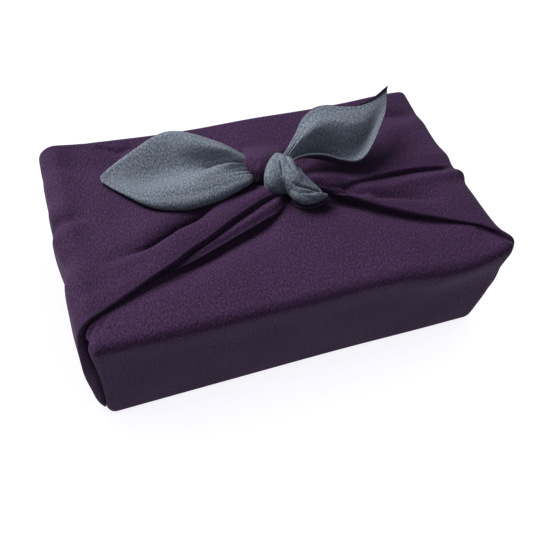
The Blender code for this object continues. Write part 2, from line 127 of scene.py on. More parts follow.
# A flap's sections: run is measured along the cloth from the middle of the top, out over the
# edge and down the side. front and back are where its two borders lie. The rises are how far
# it stands off the box: at the front border, at the crest that lies crest_in behind that
# border, half way from there to the back border, and at the back border.
LEFT_FLAP = table(
    "run  front  back  lip_rise  crest_rise  crest_in  middle_rise  back_rise",
    (-8, -1, 5, 4.0, 6.0, 2, 5.0, 3.0),
    (0, -2, 11, 6.2, 7.0, 2.4, 5.0, 2.0),
    (8, -4, 18, 6.6, 7.2, 2.6, 3.8, 1.6),
    (18, -8, 26, 6.4, 7.0, 2.8, 3.4, 1.6),
    (33, -15, 37, 6.2, 6.7, 3, 3.0, 1.8),
    (47, -22.4, 47, 5.8, 6.3, 3, 2.8, 1.8),
    (60, -28.2, 55, 5.4, 5.9, 3, 2.5, 1.6),
    (70, -33.4, 60, 5.0, 5.5, 3, 2.3, 1.6),
    (79, -37.2, 64, 4.6, 5.1, 3.2, 2.0, 1.6),
    (98, -45.3, 69, 3.1, 3.6, 3.6, 2.2, 1.8),
    (109, -50.0, 70, 2.6, 3.1, 5, 3.0, 2.2),
    (120, -55.5, 70, 3.0, 3.6, 8, 4.8, 4.2),
    (130, -62.5, 70, 4.8, 5.4, 12, 5.6, 5.0),
    (146, -67.5, 70, 5.8, 6.6, 12, 6.4, 5.4),
    (175, -68.5, 70, 5.2, 5.8, 12, 5.2, 3.8),
    (196, -68, 69, 3.6, 4.2, 10, 3.8, 2.6),
    (206, -66.5, 68, 1.8, 2.2, 8, 1.8, 1.0),
)
RIGHT_FLAP = table(
    "run  front  back  lip_rise  crest_rise  crest_in  middle_rise  back_rise",
    (14, -1, 9, 4.0, 6.0, 3, 6.0, 4.0),
    (22, -1.5, 14, 5.0, 7.6, 3, 7.0, 4.5),
    (28, -2.5, 19, 5.2, 8.0, 3, 6.5, 4.0),
    (33, -4.6, 24, 5.0, 7.6, 3, 5.8, 3.4),
    (41, -9.8, 31, 4.6, 6.8, 3, 5.4, 2.8),
    (54, -19.8, 41, 4.2, 6.0, 3.5, 5.0, 2.2),
    (67, -28.2, 50, 3.8, 5.4, 4.5, 4.4, 2.0),
    (80, -36, 57, 3.4, 4.8, 6, 3.8, 1.6),
    (95, -43.4, 64, 2.8, 4.0, 7, 3.0, 1.4),
    (110, -50.4, 69, 2.2, 3.0, 7, 2.2, 1.1),
    (117, -54.6, 70, 2.6, 2.8, 5, 1.6, 1.0),
    (122, -60.5, 70, 2.8, 2.8, 5, 1.4, 1.0),
    (126, -66.5, 70, 2.8, 2.8, 5, 1.3, 1.0),
    (132, -69.5, 70, 2.4, 2.4, 7, 1.2, 1.0),
    (146, -69.5, 70, 1.8, 2.0, 8, 1.2, 1.0),
    (175, -69, 70, 1.6, 1.8, 8, 1.2, 1.0),
    (196, -68, 69, 1.2, 1.4, 8, 1.0, 0.8),
    (206, -66, 68, 0.4, 0.4, 6, 0.4, 0.2),
)

# The narrow fold that shows in front of the left flap, from the knot outwards
LEFT_TUCK = table(
    "run  front  back  lip_rise  crest_rise  crest_in  middle_rise  back_rise",
    (-6, -2.5, 2, 2.0, 2.6, 1.5, 2.6, 2.0),
    (-4.6, -5, 3, 2.8, 4.4, 2.8, 4.2, 3.4),
    (-1.5, -9.6, 3, 2.8, 5.0, 4.6, 4.4, 3.0),
    (3, -13, 1.5, 2.8, 4.9, 5.2, 4.0, 2.6),
    (9.4, -15.4, 0, 2.6, 4.5, 5.2, 3.4, 2.2),
    (18, -18.6, -4, 2.4, 4.1, 5, 2.8, 1.8),
    (29, -22.4, -9, 2.1, 3.5, 4.6, 2.4, 1.6),
    (42, -27.2, -15, 1.8, 2.9, 4, 2.0, 1.2),
    (54, -31.4, -21.6, 1.4, 2.2, 3.2, 1.5, 1.0),
    (63, -33.8, -26, 0.9, 1.4, 2.4, 0.9, 0.6),
    (74, -36.2, -31, 0.2, 0.3, 1.4, 0.1, 0.1),
)

# The folds in a flap, from first to last along the cloth: y at the first, at the top edge and
# at the last, the depth at the three (below zero for a ridge), and how far the fold spreads to
# its front and to its back.
LEFT_FOLDS = table(
    "first last  y_first y_edge y_last  d_first d_edge d_last  to_front to_back",
    (70, 128, -28, -40, -40, 0.5, 0.7, 0.0, 5, 6),
    (104, 204, 11, 12, 8, 0.4, 3.4, 1.0, 2.6, 6),
    (108, 204, 3, 3, -3, -0.1, -1.0, -0.2, 4.5, 4),
    (112, 204, -15, -16, -22, 0.6, 2.4, 1.4, 8, 8),
    (112, 204, 34, 32, 40, 0.2, 0.8, 1.4, 7, 7),
    (60, 204, 40, 55, 60, 1.2, 0.8, 1.2, 5, 7),
)
RIGHT_FOLDS = table(
    "first last  y_first y_edge y_last  d_first d_edge d_last  to_front to_back",
    (50, 140, 9, 7, 0, -1.8, -1.4, -0.2, 6, 8),
    (66, 204, -12, -11, -24, -0.4, -3.0, -0.6, 5, 4),
    (78, 150, 47, 50, 56, 1.6, 0.4, 0.2, 6, 4),
    (84, 150, 36, 40, 42, -1.4, -0.4, -0.2, 7, 6),
)

# Where the cloth stands out from the box or is drawn in: a soft push at x, y, z, which fades
# over the reaches given.
PUSHES = table(
    "x y z  reach_x reach_y reach_z  push_x push_y push_z",
    (-125, 36, 52, 20, 40, 34, -2.0, 0, 0),
    (-110, 74, 84, 36, 16, 20, 0, 1.4, 2.4),
    (108, 74, 84, 26, 14, 16, 0, 0.8, 1.6),
    (127, -72, 36, 16, 22, 36, 9.2, -1.0, 0),
    (127, -72, 4, 16, 20, 14, 2.6, 0, 0),
    (127, -71, 84, 12, 9, 18, 3.8, 0.8, 4.8),
    (94, -74, 76, 32, 16, 18, 0, -6.0, -0.6),
    (108, -73, 4, 60, 12, 30, 0, -1.8, 0),
    (-10, -73, 79, 120, 9, 14, 0, -2.4, 0),
    (0, -72, 45, 90, 14, 30, 0, -1.4, 0),
    (20, 72, 45, 90, 14, 30, 0, 1.6, 0),
    (-60, -52, 83, 50, 30, 12, 0, 0, 0.6),
    (60, -56, 83, 55, 28, 12, 0, 0, 0.5),
)

# The knot's strands: a centre line, a row for each section, with its breadth and thickness.
PURPLE_NECK = table(
    "x y z  broad thick",
    (10.4, 51.0, 80.8, 27, 4),
    (8.6, 45.0, 81.7, 28, 4.2),
    (5.7, 39.2, 84.0, 27.5, 6),
    (1.8, 32.7, 87.5, 24, 9),
    (-2.2, 26.4, 90.0, 20.5, 12),
    (-5.1, 21.2, 91.5, 18, 13),
    (-6.4, 19.2, 90.0, 16.4, 12),
    (-6.0, 18.9, 86.0, 15, 10),
    (-3.9, 20.0, 81.0, 13, 6),
)
GREY_WRAP = table(
    "x y z  broad thick",
    (11.8, 26.5, 89.0, 8, 8),
    (7.8, 19.3, 92.0, 10, 12),
    (4.7, 13.8, 93.8, 11.6, 14),
    (2.3, 9.3, 93.7, 12.4, 15),
    (1.4, 6.3, 92.3, 12.4, 15),
    (2.0, 4.8, 90.3, 12, 13),
    (4.5, 4.8, 87.1, 11.4, 11),
    (8.5, 5.5, 84.0, 10, 8),
)
GREY_STRAP = table(
    "x y z  broad thick",
    (16.1, 25.4, 89.0, 7, 8),
    (13.3, 17.6, 92.4, 9, 12),
    (11.8, 11.8, 94.5, 10.8, 13),
    (11.0, 6.7, 94.6, 12, 14),
    (11.4, 2.3, 93.8, 12.8, 14),
    (13.3, -1.3, 92.1, 13.4, 13),
    (15.9, -4.9, 91.4, 12.6, 11.4),
    (19.0, -7.4, 90.6, 11.0, 9.8),
    (22.5, -9.0, 89.6, 8.8, 8.4),
    (26.8, -9.1, 87.5, 5.0, 5.8),
    (29.7, -9.1, 86.5, 1.8, 3),
)
GREY_FILL = table(
    "x y z  broad thick",
    (11.4, 22.0, 90.6, 6, 9),
    (10.4, 18.5, 92.4, 8, 12),
    (8.3, 12.8, 94.3, 9, 13.6),
    (6.7, 8.0, 94.3, 9, 13.8),
    (6.8, 4.2, 92.8, 8, 13),
    (9.2, 1.6, 90.4, 7, 11),
)
GREY_TAIL = table(
    "x y z  broad thick",
    (12.1, 3.4, 89.4, 7, 7),
    (12.0, -2.1, 91.4, 9.4, 7.6),
    (12.8, -6.1, 91.5, 10.0, 8),
    (14.9, -8.5, 90.6, 9.6, 7.8),
    (17.9, -9.5, 89.6, 8.4, 7.2),
    (21.5, -9.5, 88.6, 7.0, 6.4),
    (25.4, -9.2, 87.8, 5.4, 5.4),
    (29.2, -8.7, 87.2, 3.6, 4),
    (31.5, -8.3, 87.0, 1.8, 2.2),
)
GREY_EDGE = table(
    "x y z  broad thick",
    (17.9, 15.1, 91.0, 5, 6),
    (18.2, 8.0, 92.0, 4.6, 6),
    (20.3, 3.6, 90.6, 4.4, 6),
    (23.1, 0.1, 89.0, 4.2, 5.6),
    (26.0, -3.4, 87.5, 3.6, 5),
    (28.4, -6.3, 86.6, 2.4, 3.6),
)
PURPLE_RIM = table(
    "x y z  broad thick",
    (9.6, -5.6, 85.8, 2.2, 1.4),
    (11.4, -10.0, 85.2, 2.2, 1.4),
    (14.8, -12.5, 85.0, 2.2, 1.4),
    (19.4, -13.4, 85.0, 2.0, 1.4),
    (25.4, -12.7, 85.4, 1.8, 1.4),
    (32.2, -10.6, 86.4, 1.2, 1.0),
)

# The grey strands that are joined to one knot, each with its number of rings and its heart
GREY_STRANDS = (
    ("wrap", GREY_WRAP, 60, KNOT),
    ("fill", GREY_FILL, 50, KNOT),
    ("strap", GREY_STRAP, 70, STRAP),
    ("tail", GREY_TAIL, 50, KNOT),
    ("edge", GREY_EDGE, 40, KNOT),
)

# The ears, from the knot to the tip: where their back and front edges run, and how far each
# edge curls under (below zero, it rolls up).
LEFT_EDGES = table(
    "back_x back_y back_z  front_x front_y front_z  back_curl front_curl",
    (-4, 27, 91, -7.4, 15.8, 90, 1.0, 1.0),
    (-12, 33, 93.5, -12.6, 11.6, 93.6, 1.6, 2.6),
    (-20, 40, 95.5, -22, 8.8, 94.8, 1.8, 3.8),
    (-28, 46.5, 96, -32, 6.6, 94.8, 1.6, 4.6),
    (-36, 53, 96, -42.6, 5.4, 94.4, 1.0, 4.8),
    (-44, 58.7, 95, -53.4, 5.6, 93.6, 0.5, 4.8),
    (-53, 61, 94, -62.2, 7.4, 93, 0, 4.4),
    (-63, 59, 92.5, -70, 9.6, 92.2, 0, 3.6),
    (-73, 54.3, 91, -77.2, 13.6, 91, 0, 2.4),
    (-83.5, 48.8, 89.8, -84.6, 20.4, 89.6, 0, 1.2),
    (-92, 43.4, 89, -91.5, 28, 88.8, 0, 0.6),
    (-97.5, 39, 88.6, -97.6, 36, 88.6, 0, 0),
)
RIGHT_EDGES = table(
    "back_x back_y back_z  front_x front_y front_z  back_curl front_curl",
    (9, 20, 95, 11, 12, 95, 0.6, 0),
    (14, 22, 101, 17, 15, 99, 1.0, 0),
    (21, 28, 106, 23.5, 15, 101, 1.0, 0),
    (28.5, 36, 110, 30, 13.4, 102, 0.6, 0),
    (37, 40.6, 112, 37.5, 11, 101.5, 0, 0),
    (46.5, 41.3, 112.3, 45, 6.7, 100.5, 0, 0),
    (58.4, 38.6, 111.5, 54, 3.8, 100, 0, 0),
    (68.7, 38.8, 111, 61, 6, 101, -0.6, 0),
    (77, 40.6, 112, 68.5, 12.5, 103.5, -1.2, 0),
    (83, 43, 113.2, 76, 21, 107, -1.6, 0),
    (87.5, 45, 114.6, 83, 30, 110.2, -1.7, 0),
    (90.6, 46, 116, 89.2, 43, 114.4, -1.2, 0),
)

# How far the cloth of an ear stands above (or below) the straight line from its back edge to
# its front one: a row for each row of the ear, and a column for each of these shares of its
# breadth.
EAR_SHARES = np.array((0, 0.06, 0.12, 0.2, 0.3, 0.42, 0.56, 0.7, 0.85, 1))
LEFT_RELIEF = np.array(
    (
        (0, 0.3, 0.7, 1.1, 1.0, -1.6, 0.4, -0.4, 0.0, 0),
        (0, 0.6, 1.2, 1.8, 0.6, -5.4, 2.4, 0.6, 0.6, 0),
        (0, 0.8, 1.6, 1.8, -3.2, -8.8, 2.6, 1.0, 1.0, 0),
        (0, 0.8, 1.5, 0.8, -7.0, -10.4, 0.4, 2.0, 1.4, 0),
        (0, 0.6, 0.8, -1.4, -8.6, -10.8, -4.4, 1.6, 1.8, 0),
        (0, 0.3, -0.4, -2.4, -6.8, -9.8, -7.4, -0.8, 1.6, 0),
        (0, 0.1, -0.8, -2.8, -5.8, -8.6, -7.8, -2.8, 1.2, 0),
        (0, 0, -0.8, -2.4, -4.6, -6.8, -6.8, -3.2, 0.6, 0),
        (0, 0, -0.6, -1.8, -3.2, -4.6, -4.6, -2.6, 0.1, 0),
        (0, 0, -0.2, -0.8, -1.5, -2.2, -2.3, -1.4, -0.2, 0),
        (0, 0, -0.1, -0.4, -0.7, -1.0, -1.0, -0.7, -0.2, 0),
        (0, 0, 0, 0, 0, 0, 0, 0, 0, 0),
    )
) * MM
RIGHT_RELIEF = np.array(
    (
        (0, 0, 0, 0, 0, 0, 0, 0, 0, 0),
        (0, 0.2, 0.5, 0.9, 1.2, 1.2, 0.6, -0.8, -1.8, 0),
        (0, 0.4, 0.8, 1.5, 2.2, 2.8, 1.8, -1.6, -3.8, 0),
        (0, 0.5, 1.0, 1.8, 2.8, 4.2, 4.0, -1.4, -6.8, 0),
        (0, 0.6, 1.2, 2.2, 3.4, 5.0, 3.8, -3.4, -8.8, 0),
        (0, 0.6, 1.2, 2.2, 3.4, 4.8, 2.0, -5.6, -9.0, 0),
        (0, 0.5, 1.0, 1.9, 2.8, 3.4, 0.2, -6.0, -7.4, 0),
        (0, 0.4, 0.8, 1.4, 1.8, 1.8, -0.6, -4.2, -4.6, 0),
        (0, 0.2, 0.4, 0.6, 0.7, 0.2, -1.2, -2.4, -1.8, 0),
        (0, 0.1, 0.2, 0.2, 0.1, -0.3, -0.8, -1.2, -0.8, 0),
        (0, 0, 0, 0, 0, -0.1, -0.3, -0.4, -0.3, 0),
        (0, 0, 0, 0, 0, 0, 0, 0, 0, 0),
    )
) * MM

# The fine pleats at each ear's root: where one lies from back (0) to front (1) at the root and
# where it ends, how far along the ear it reaches, how deep it is and how wide it spreads.
LEFT_PLEATS = table(
    "AT_ROOT AT_END REACH depth SPREAD",
    (0.07, 0.04, 0.42, 3.4, 0.022),
    (0.42, 0.35, 0.42, 3.6, 0.03),
    (0.52, 0.50, 0.26, 0.6, 0.03),
    (0.58, 0.66, 0.24, 2.0, 0.05),
    (0.72, 0.78, 0.40, 0.9, 0.035),
    (0.84, 0.86, 0.30, 1.0, 0.04),
)
RIGHT_PLEATS = table(
    "AT_ROOT AT_END REACH depth SPREAD",
    (0.22, 0.16, 0.34, 0.7, 0.05),
    (0.40, 0.34, 0.40, 0.9, 0.06),
    (0.58, 0.52, 0.36, 0.7, 0.05),
)
LEFT_EAR = (LEFT_EDGES, LEFT_RELIEF, LEFT_PLEATS)
RIGHT_EAR = (RIGHT_EDGES, RIGHT_RELIEF, RIGHT_PLEATS)


def crease(way, to_front, to_back, points, depths):
    """A crease: the way it is pressed, how far it spreads, and its line with the depth there."""
    if len(points) != len(depths):
        raise ValueError("A crease has a depth for each of its points")
    return way, to_front, to_back, [(*point, depth) for point, depth in zip(points, depths)]


DOWN = (0, 0, -1)
INWARDS = (1, 0, 0)
# The line behind the left band, where the cloth dips
BAND_DIP = (
    (-32.6, 2.7, 89), (-43.0, -1.7, 88.5), (-51.3, -5.4, 88), (-57.1, -7.2, 88),
    (-62.9, -9.0, 88), (-67.6, -11.5, 88), (-72.8, -13.9, 87.6), (-79.1, -16.7, 87.4),
    (-84.7, -18.5, 87), (-92.3, -20.0, 86.6), (-99.2, -21.4, 86.4), (-105.9, -22.1, 86),
    (-113, -23, 85.6),
)

# Creases pressed into the cloth: which way it is pressed, how far the crease spreads to its
# front and to its back, the points of its line and the depth at each, all in millimetres.
WRAP_CREASES = (
    # in front of the left flap's border
    crease(
        DOWN, 9.0, 3.0,
        (
            (0, -12, 84), (-8, -15.5, 84), (-20, -19.6, 84), (-36, -25.4, 84),
            (-50, -30.4, 84), (-62, -34.2, 84), (-74, -38, 84), (-86, -42.4, 84),
            (-98, -47, 84), (-109, -51.6, 84), (-120, -57.4, 84),
        ),
        (2.2, 3.0, 3.4, 3.6, 3.6, 3.4, 2.8, 1.8, 1.0, 0.6, 0.4),
    ),
    # the little folds where the front panel comes out of the pocket
    crease(DOWN, 1.0, 1.0, ((-112, -54, 84), (-116, -59, 84), (-118, -64, 84)), (0.6, 1.4, 0.6)),
    crease(DOWN, 1.0, 1.2, ((-118, -57, 84), (-121.5, -61, 84), (-123, -66, 82)), (0.8, 1.8, 0.8)),
    # the pocket between the flap and the front panel, down the left corner
    crease(
        INWARDS, 1.6, 5.0,
        (
            (-125, -62, 82), (-125, -66, 76), (-125, -67.5, 60), (-125, -67.5, 40),
            (-125, -67, 22), (-125, -66, 5),
        ),
        (1.5, 3.0, 4.4, 5.0, 5.4, 4.4),
    ),
    # in front of the right flap's border
    crease(
        DOWN, 9.0, 3.0,
        (
            (14, -8, 84), (24, -8, 84), (36, -9.4, 84), (45, -14.6, 84), (56, -22, 84),
            (67, -29.6, 84), (81, -37.4, 84), (96, -44.6, 84), (112, -51.8, 84),
        ),
        (2.6, 3.4, 4.0, 4.0, 3.6, 3.2, 2.6, 2.0, 1.6),
    ),
    # and on from there, over the right corner
    crease(
        DOWN, 1.6, 1.8,
        ((112, -53, 84), (119, -58, 84), (125, -65, 83), (131, -70, 81)),
        (1.0, 2.0, 2.6, 1.6),
    ),
)
LEFT_CREASES = (
    # behind the band: a wide fold and its sharp bottom
    crease(
        DOWN, 2.6, 6.0, BAND_DIP,
        (2.6, 4.0, 4.4, 4.4, 4.4, 4.4, 4.2, 4.0, 3.0, 2.2, 1.6, 1.0, 0.5),
    ),
    crease(
        DOWN, 0.8, 1.8, BAND_DIP[:11],
        (1.6, 2.4, 2.8, 2.8, 2.8, 2.8, 2.6, 2.4, 1.4, 0.6, 0.2),
    ),
    # under the ear, where nothing shows
    crease(
        DOWN, 15, 14,
        ((-18, 25, 88), (-32, 30, 88), (-48, 33, 88), (-64, 35, 88), (-82, 36, 88)),
        (2.0, 4.6, 5.0, 4.4, 1.0),
    ),
    # a small one by the back edge
    crease(
        DOWN, 3.0, 2.2,
        ((-70, 67, 86), (-81, 60, 87), (-88, 62.5, 87), (-97, 67, 86)),
        (0.8, 1.8, 1.6, 0.6),
    ),
)
RIGHT_CREASES = (
    # the layer behind lies over the one in front
    crease(
        DOWN, 4.5, 0.8,
        (
            (29.4, -2.0, 93), (38.5, -4.6, 92), (47.1, -5.4, 91), (55.6, -5.3, 90),
            (65.2, -4.4, 89), (76.6, -3.2, 88), (86.9, -2.8, 88), (95.6, -2.7, 88),
            (106.9, -3.6, 88), (118.2, -4.8, 88), (127.0, -5.6, 87.4),
        ),
        (1.4, 2.0, 2.2, 2.4, 2.8, 3.4, 3.6, 3.4, 3.0, 2.4, 1.6),
    ),
    # behind the rolled border
    crease(
        DOWN, 1.8, 3.6,
        (
            (33, 0, 91), (41.8, -3.8, 90), (47, -8.4, 89), (52, -12.2, 88), (58, -14.4, 88),
            (63.4, -17.6, 88), (70, -19.6, 87), (79, -23, 87), (90, -27, 87), (102, -31.6, 87),
        ),
        (2.0, 3.6, 4.0, 4.0, 3.2, 2.8, 2.4, 1.8, 1.2, 0.5),
    ),
    # a small one between them, near the knot
    crease(
        DOWN, 0.9, 1.3,
        (
            (34.9, -6.8, 92), (40.3, -8.5, 91.5), (45.6, -10.6, 91), (51.7, -14.2, 90),
            (58.2, -18.3, 89), (66.1, -22.5, 88),
        ),
        (0.8, 1.5, 1.6, 1.4, 0.9, 0.4),
    ),
    # the wide hollow behind the border
    crease(
        DOWN, 5, 8,
        ((56, -16, 88), (66, -18, 88), (80, -22, 87), (94, -27, 87), (108, -31, 87)),
        (0.5, 2.2, 2.8, 1.8, 0.4),
    ),
    # a shallow one by the back edge
    crease(
        DOWN, 6, 5,
        ((84, 57, 85), (98, 52.5, 85), (109, 50, 85), (119, 45, 85)),
        (0.5, 1.8, 2.0, 1.6),
    ),
)
KNOT_CREASES = (
    # the slit down the top
    crease(
        DOWN, 0.5, 0.5,
        ((7.6, 15.4, 100.6), (6.6, 11.8, 101), (5.7, 7.9, 101), (5.2, 4.6, 99.6), (5.0, 2.6, 97)),
        (0.6, 1.6, 2.0, 1.2, 0.4),
    ),
    # between the strap and the end below it
    crease(
        DOWN, 0.7, 0.6,
        (
            (8.7, -2.3, 96), (11.2, -4.2, 95), (14.6, -5.8, 94), (18.7, -7.2, 92.6),
            (23.0, -8.4, 91), (26.8, -8.9, 90),
        ),
        (0.8, 1.8, 2.6, 2.8, 2.6, 2.0),
    ),
    # the drag lines
    crease(
        DOWN, 0.8, 0.8,
        ((12.6, 18.3, 99), (11.5, 11.4, 101), (11.8, 5.4, 101), (13.2, 1.0, 100)),
        (0.4, 0.8, 0.8, 0.4),
    ),
    crease(
        DOWN, 0.7, 0.7,
        ((12.5, -8.1, 94.4), (15.0, -9.6, 93.6), (19.2, -10.1, 92), (24.1, -9.9, 90)),
        (0.4, 0.8, 0.8, 0.4),
    ),
)


def linear(hex_colour):
    """An sRGB hex colour as the linear numbers that Blender mixes."""
    channels = [int(hex_colour[i : i + 2], 16) / 255 for i in (0, 2, 4)]
    return [c / 12.92 if c <= 0.04045 else ((c + 0.055) / 1.055) ** 2.4 for c in channels]


class ParcelSizes(bpy.types.PropertyGroup):
    """The box with the cloth drawn tight round it."""

    length: FloatProperty(
        name="Length", description="From the left side to the right",
        default=0.25, min=0.1, unit="LENGTH",
    )
    width: FloatProperty(
        name="Width", description="From the front to the back",
        default=0.145, min=0.08, unit="LENGTH",
    )
    height: FloatProperty(
        name="Height", description="From the floor to the flat top",
        default=0.0835, min=0.03, unit="LENGTH",
    )
    corner: FloatProperty(
        name="Corner", description="Radius of the upright corners",
        default=0.0055, min=0.001, unit="LENGTH",
    )
    side_edge: FloatProperty(
        name="Side edge", description="Turn from the top to the left and right sides",
        default=0.006, min=0.001, unit="LENGTH",
    )
    front_edge: FloatProperty(
        name="Front edge", description="Turn from the top to the front",
        default=0.0055, min=0.001, unit="LENGTH",
    )
    back_edge: FloatProperty(
        name="Back edge", description="Turn from the top to the back",
        default=0.0035, min=0.001, unit="LENGTH",
    )
    foot_edge: FloatProperty(
        name="Foot edge", description="Turn from the sides to the bottom",
        default=0.004, min=0.001, unit="LENGTH",
    )


class ClothLook(bpy.types.PropertyGroup):
    """The crepe itself and the hems' thread."""

    outside: FloatVectorProperty(
        name="Outside", description="Colour of the cloth's outer side",
        subtype="COLOR", size=3, default=linear("45304B"), min=0, max=1,
    )
    inside: FloatVectorProperty(
        name="Inside", description="Colour of the cloth's inner side",
        subtype="COLOR", size=3, default=linear("6F757D"), min=0, max=1,
    )
    thickness: FloatProperty(
        name="Thickness", description="Of the two layers of an ear, hemmed",
        default=0.0022, min=0.0005, unit="LENGTH",
    )
    grain: FloatProperty(
        name="Grain", description="From one pucker of the crepe to the next",
        default=0.0010, min=0.0003, unit="LENGTH",
    )
    hem: FloatProperty(
        name="Hem", description="From an ear's edge to its line of stitches",
        default=0.003, min=0.001, unit="LENGTH",
    )
    stitch_pitch: FloatProperty(
        name="Stitch pitch", description="From one hem stitch to the next",
        default=0.0032, min=0.001, unit="LENGTH",
    )
    stitch_length: FloatProperty(
        name="Stitch length", description="Of one hem stitch",
        default=0.0016, min=0.0005, unit="LENGTH",
    )
    thread: FloatProperty(
        name="Thread", description="Thickness of the hem's thread",
        default=0.0004, min=0.0001, unit="LENGTH",
    )
    thread_colour: FloatVectorProperty(
        name="Thread colour", description="Of the hem's thread",
        subtype="COLOR", size=3, default=linear("5B606B"), min=0, max=1,
    )


class StageLook(bpy.types.PropertyGroup):
    """The floor, the light and the camera."""

    floor: FloatVectorProperty(
        name="Floor", description="Colour of the floor",
        subtype="COLOR", size=3, default=linear("F7F7F7"), min=0, max=1,
    )
    key_power: FloatProperty(
        name="Key light", description="Of the soft light behind, to the left",
        default=114.0, min=0, unit="POWER",
    )
    floor_power: FloatProperty(
        name="Floor light", description="Of the even light on the floor", default=2.6, min=0
    )
    sky: FloatVectorProperty(
        name="Sky", description="Colour of the even light from all round",
        subtype="COLOR", size=3, default=linear("EEF0FF"), min=0, max=1,
    )
    surround: FloatProperty(
        name="Surround", description="Strength of the even light from all round",
        default=0.40, min=0, subtype="FACTOR",
    )
    lens: FloatProperty(
        name="Lens", description="Focal length in millimetres on a 36 mm sensor",
        default=40.79, min=10,
    )


def parcel():
    return bpy.context.scene.wrap_parcel


def cloth():
    return bpy.context.scene.wrap_cloth


def flat_run():
    """Along the cloth, from the middle of the top to where the side edge begins."""
    return parcel().length / 2 - parcel().side_edge


def edge_run():
    return parcel().side_edge * math.pi / 2


def full_run():
    return flat_run() + edge_run() + parcel().height - parcel().side_edge


def smooth(key, value, at):
    """The value at `at` on a smooth curve through the rows."""
    at = np.clip(at, key[0], key[-1])
    slope = np.gradient(value, key, axis=0)
    low = np.clip(np.searchsorted(key, at) - 1, 0, len(key) - 2)
    step = key[low + 1] - key[low]
    t = (at - key[low]) / step
    return (
        (1 + 2 * t) * (1 - t) ** 2 * value[low]
        + t * (1 - t) ** 2 * step * slope[low]
        + t * t * (3 - 2 * t) * value[low + 1]
        + t * t * (t - 1) * step * slope[low + 1]
    )


def smooth_rows(key, rows, at):
    """The same for every column of a table of points."""
    return np.column_stack([smooth(key, rows[:, column], at) for column in range(rows.shape[1])])


def ease(t):
    """From 0 to 1 with level ends."""
    t = np.clip(t, 0, 1)
    return t * t * (3 - 2 * t)


def held_at_borders(across):
    """0 at both borders, so that they keep their line, and 1 from an eighth of the way in."""
    return ease(across * 8) * ease((1 - across) * 8)


def pushed(points):
    """The points moved by every soft push."""
    points = np.asarray(points, float)
    moved = points.copy()
    for row in zip(*PUSHES.values()):
        centre, reach, push = np.array(row[0:3]), np.array(row[3:6]), np.array(row[6:9])
        fade = np.exp(-(((points - centre) / reach) ** 2).sum(axis=-1))
        moved += fade[..., None] * push
    # What the floor carries stays level.
    moved[..., 2] = np.where(points[..., 2] <= 0, points[..., 2], moved[..., 2])
    return moved


def new_object(name, data):
    made = bpy.data.objects.new(name, data)
    bpy.context.scene.collection.objects.link(made)
    return made


def piece_of(name, rings, uvs, ends=("flat", "flat"), finishes=None):
    """A closed piece through rings of equal length. An end is "flat" or the point it closes on.

    uvs has one more column than the rings have points, because the last face of each ring ends
    where the first begins. finishes gives each face of a ring the number of its material.
    """
    rings = np.asarray(rings)
    count, columns = rings.shape[:2]
    points = rings.reshape(-1, 3)
    j = np.arange(columns)
    k = (j + 1) % columns
    faces, corners, kinds = [], [], []
    for i in range(count - 1):
        low, high = i * columns, (i + 1) * columns
        faces.append(np.stack((low + j, low + k, high + k, high + j), axis=1))
        near, far = uvs[i], uvs[i + 1]
        corners.append(np.stack((near[j], near[j + 1], far[j + 1], far[j]), axis=1))
        kinds.append(np.zeros(columns, int) if finishes is None else finishes)
    quads, quad_uvs = np.concatenate(faces), np.concatenate(corners).reshape(-1, 2)
    fans, fan_uvs = [], []
    for i, end, turned in ((0, ends[0], True), (count - 1, ends[1], False)):
        middle = rings[i].mean(axis=0) if isinstance(end, str) else np.array(end)
        points = np.vstack((points, middle))
        tip = np.full(columns, len(points) - 1)
        a, b = (k, j) if turned else (j, k)
        fans.append(np.stack((i * columns + a, i * columns + b, tip), axis=1))
        tip_uv = np.repeat(uvs[i, :-1].mean(axis=0)[None], columns, axis=0)
        a_uv, b_uv = (uvs[i, j + 1], uvs[i, j]) if turned else (uvs[i, j], uvs[i, j + 1])
        fan_uvs.append(np.stack((a_uv, b_uv, tip_uv), axis=1).reshape(-1, 2))
        kinds.append(kinds[0])
    mesh = bpy.data.meshes.new(name)
    mesh.from_pydata(points.tolist(), [], quads.tolist() + np.concatenate(fans).tolist())
    layer = mesh.uv_layers.new(name="cloth")
    layer.data.foreach_set("uv", np.concatenate([quad_uvs, *fan_uvs]).ravel())
    mesh.polygons.foreach_set("material_index", np.concatenate(kinds))
    piece = new_object(name, mesh)
    outwards(piece)
    return piece


def outwards(piece):
    """Turns the faces outwards and shades them smooth."""
    shell = bmesh.new()
    shell.from_mesh(piece.data)
    if shell.calc_volume(signed=True) < 0:
        bmesh.ops.reverse_faces(shell, faces=shell.faces)
    shell.to_mesh(piece.data)
    shell.free()
    piece.data.shade_smooth()


def ring_uvs(rings, middle=0):
    """The rings laid flat, in metres: u along the cloth and v round it, from the middle column."""
    rings = np.asarray(rings)
    closed = np.concatenate((rings, rings[:, :1]), axis=1)
    around = np.linalg.norm(np.diff(closed, axis=1), axis=2).cumsum(axis=1)
    v = np.concatenate((np.zeros((len(rings), 1)), around), axis=1)
    v -= v[:, middle : middle + 1]
    along = np.linalg.norm(np.diff(rings[:, middle], axis=0), axis=1).cumsum()
    u = np.concatenate(((0,), along))
    return np.stack((np.broadcast_to(u[:, None], v.shape), v), axis=2)


def applied(name, rough):
    """What an object's modifiers make of it, as a piece of its own with none; the object goes."""
    bpy.context.view_layer.update()
    graph = bpy.context.evaluated_depsgraph_get()
    made = bpy.data.meshes.new_from_object(rough.evaluated_get(graph))
    rough.modifiers.clear()
    bpy.data.objects.remove(rough, do_unlink=True)
    if not made.polygons:
        raise RuntimeError("Nothing was made for " + name)
    made.name = name
    piece = new_object(name, made)
    outwards(piece)
    return piece


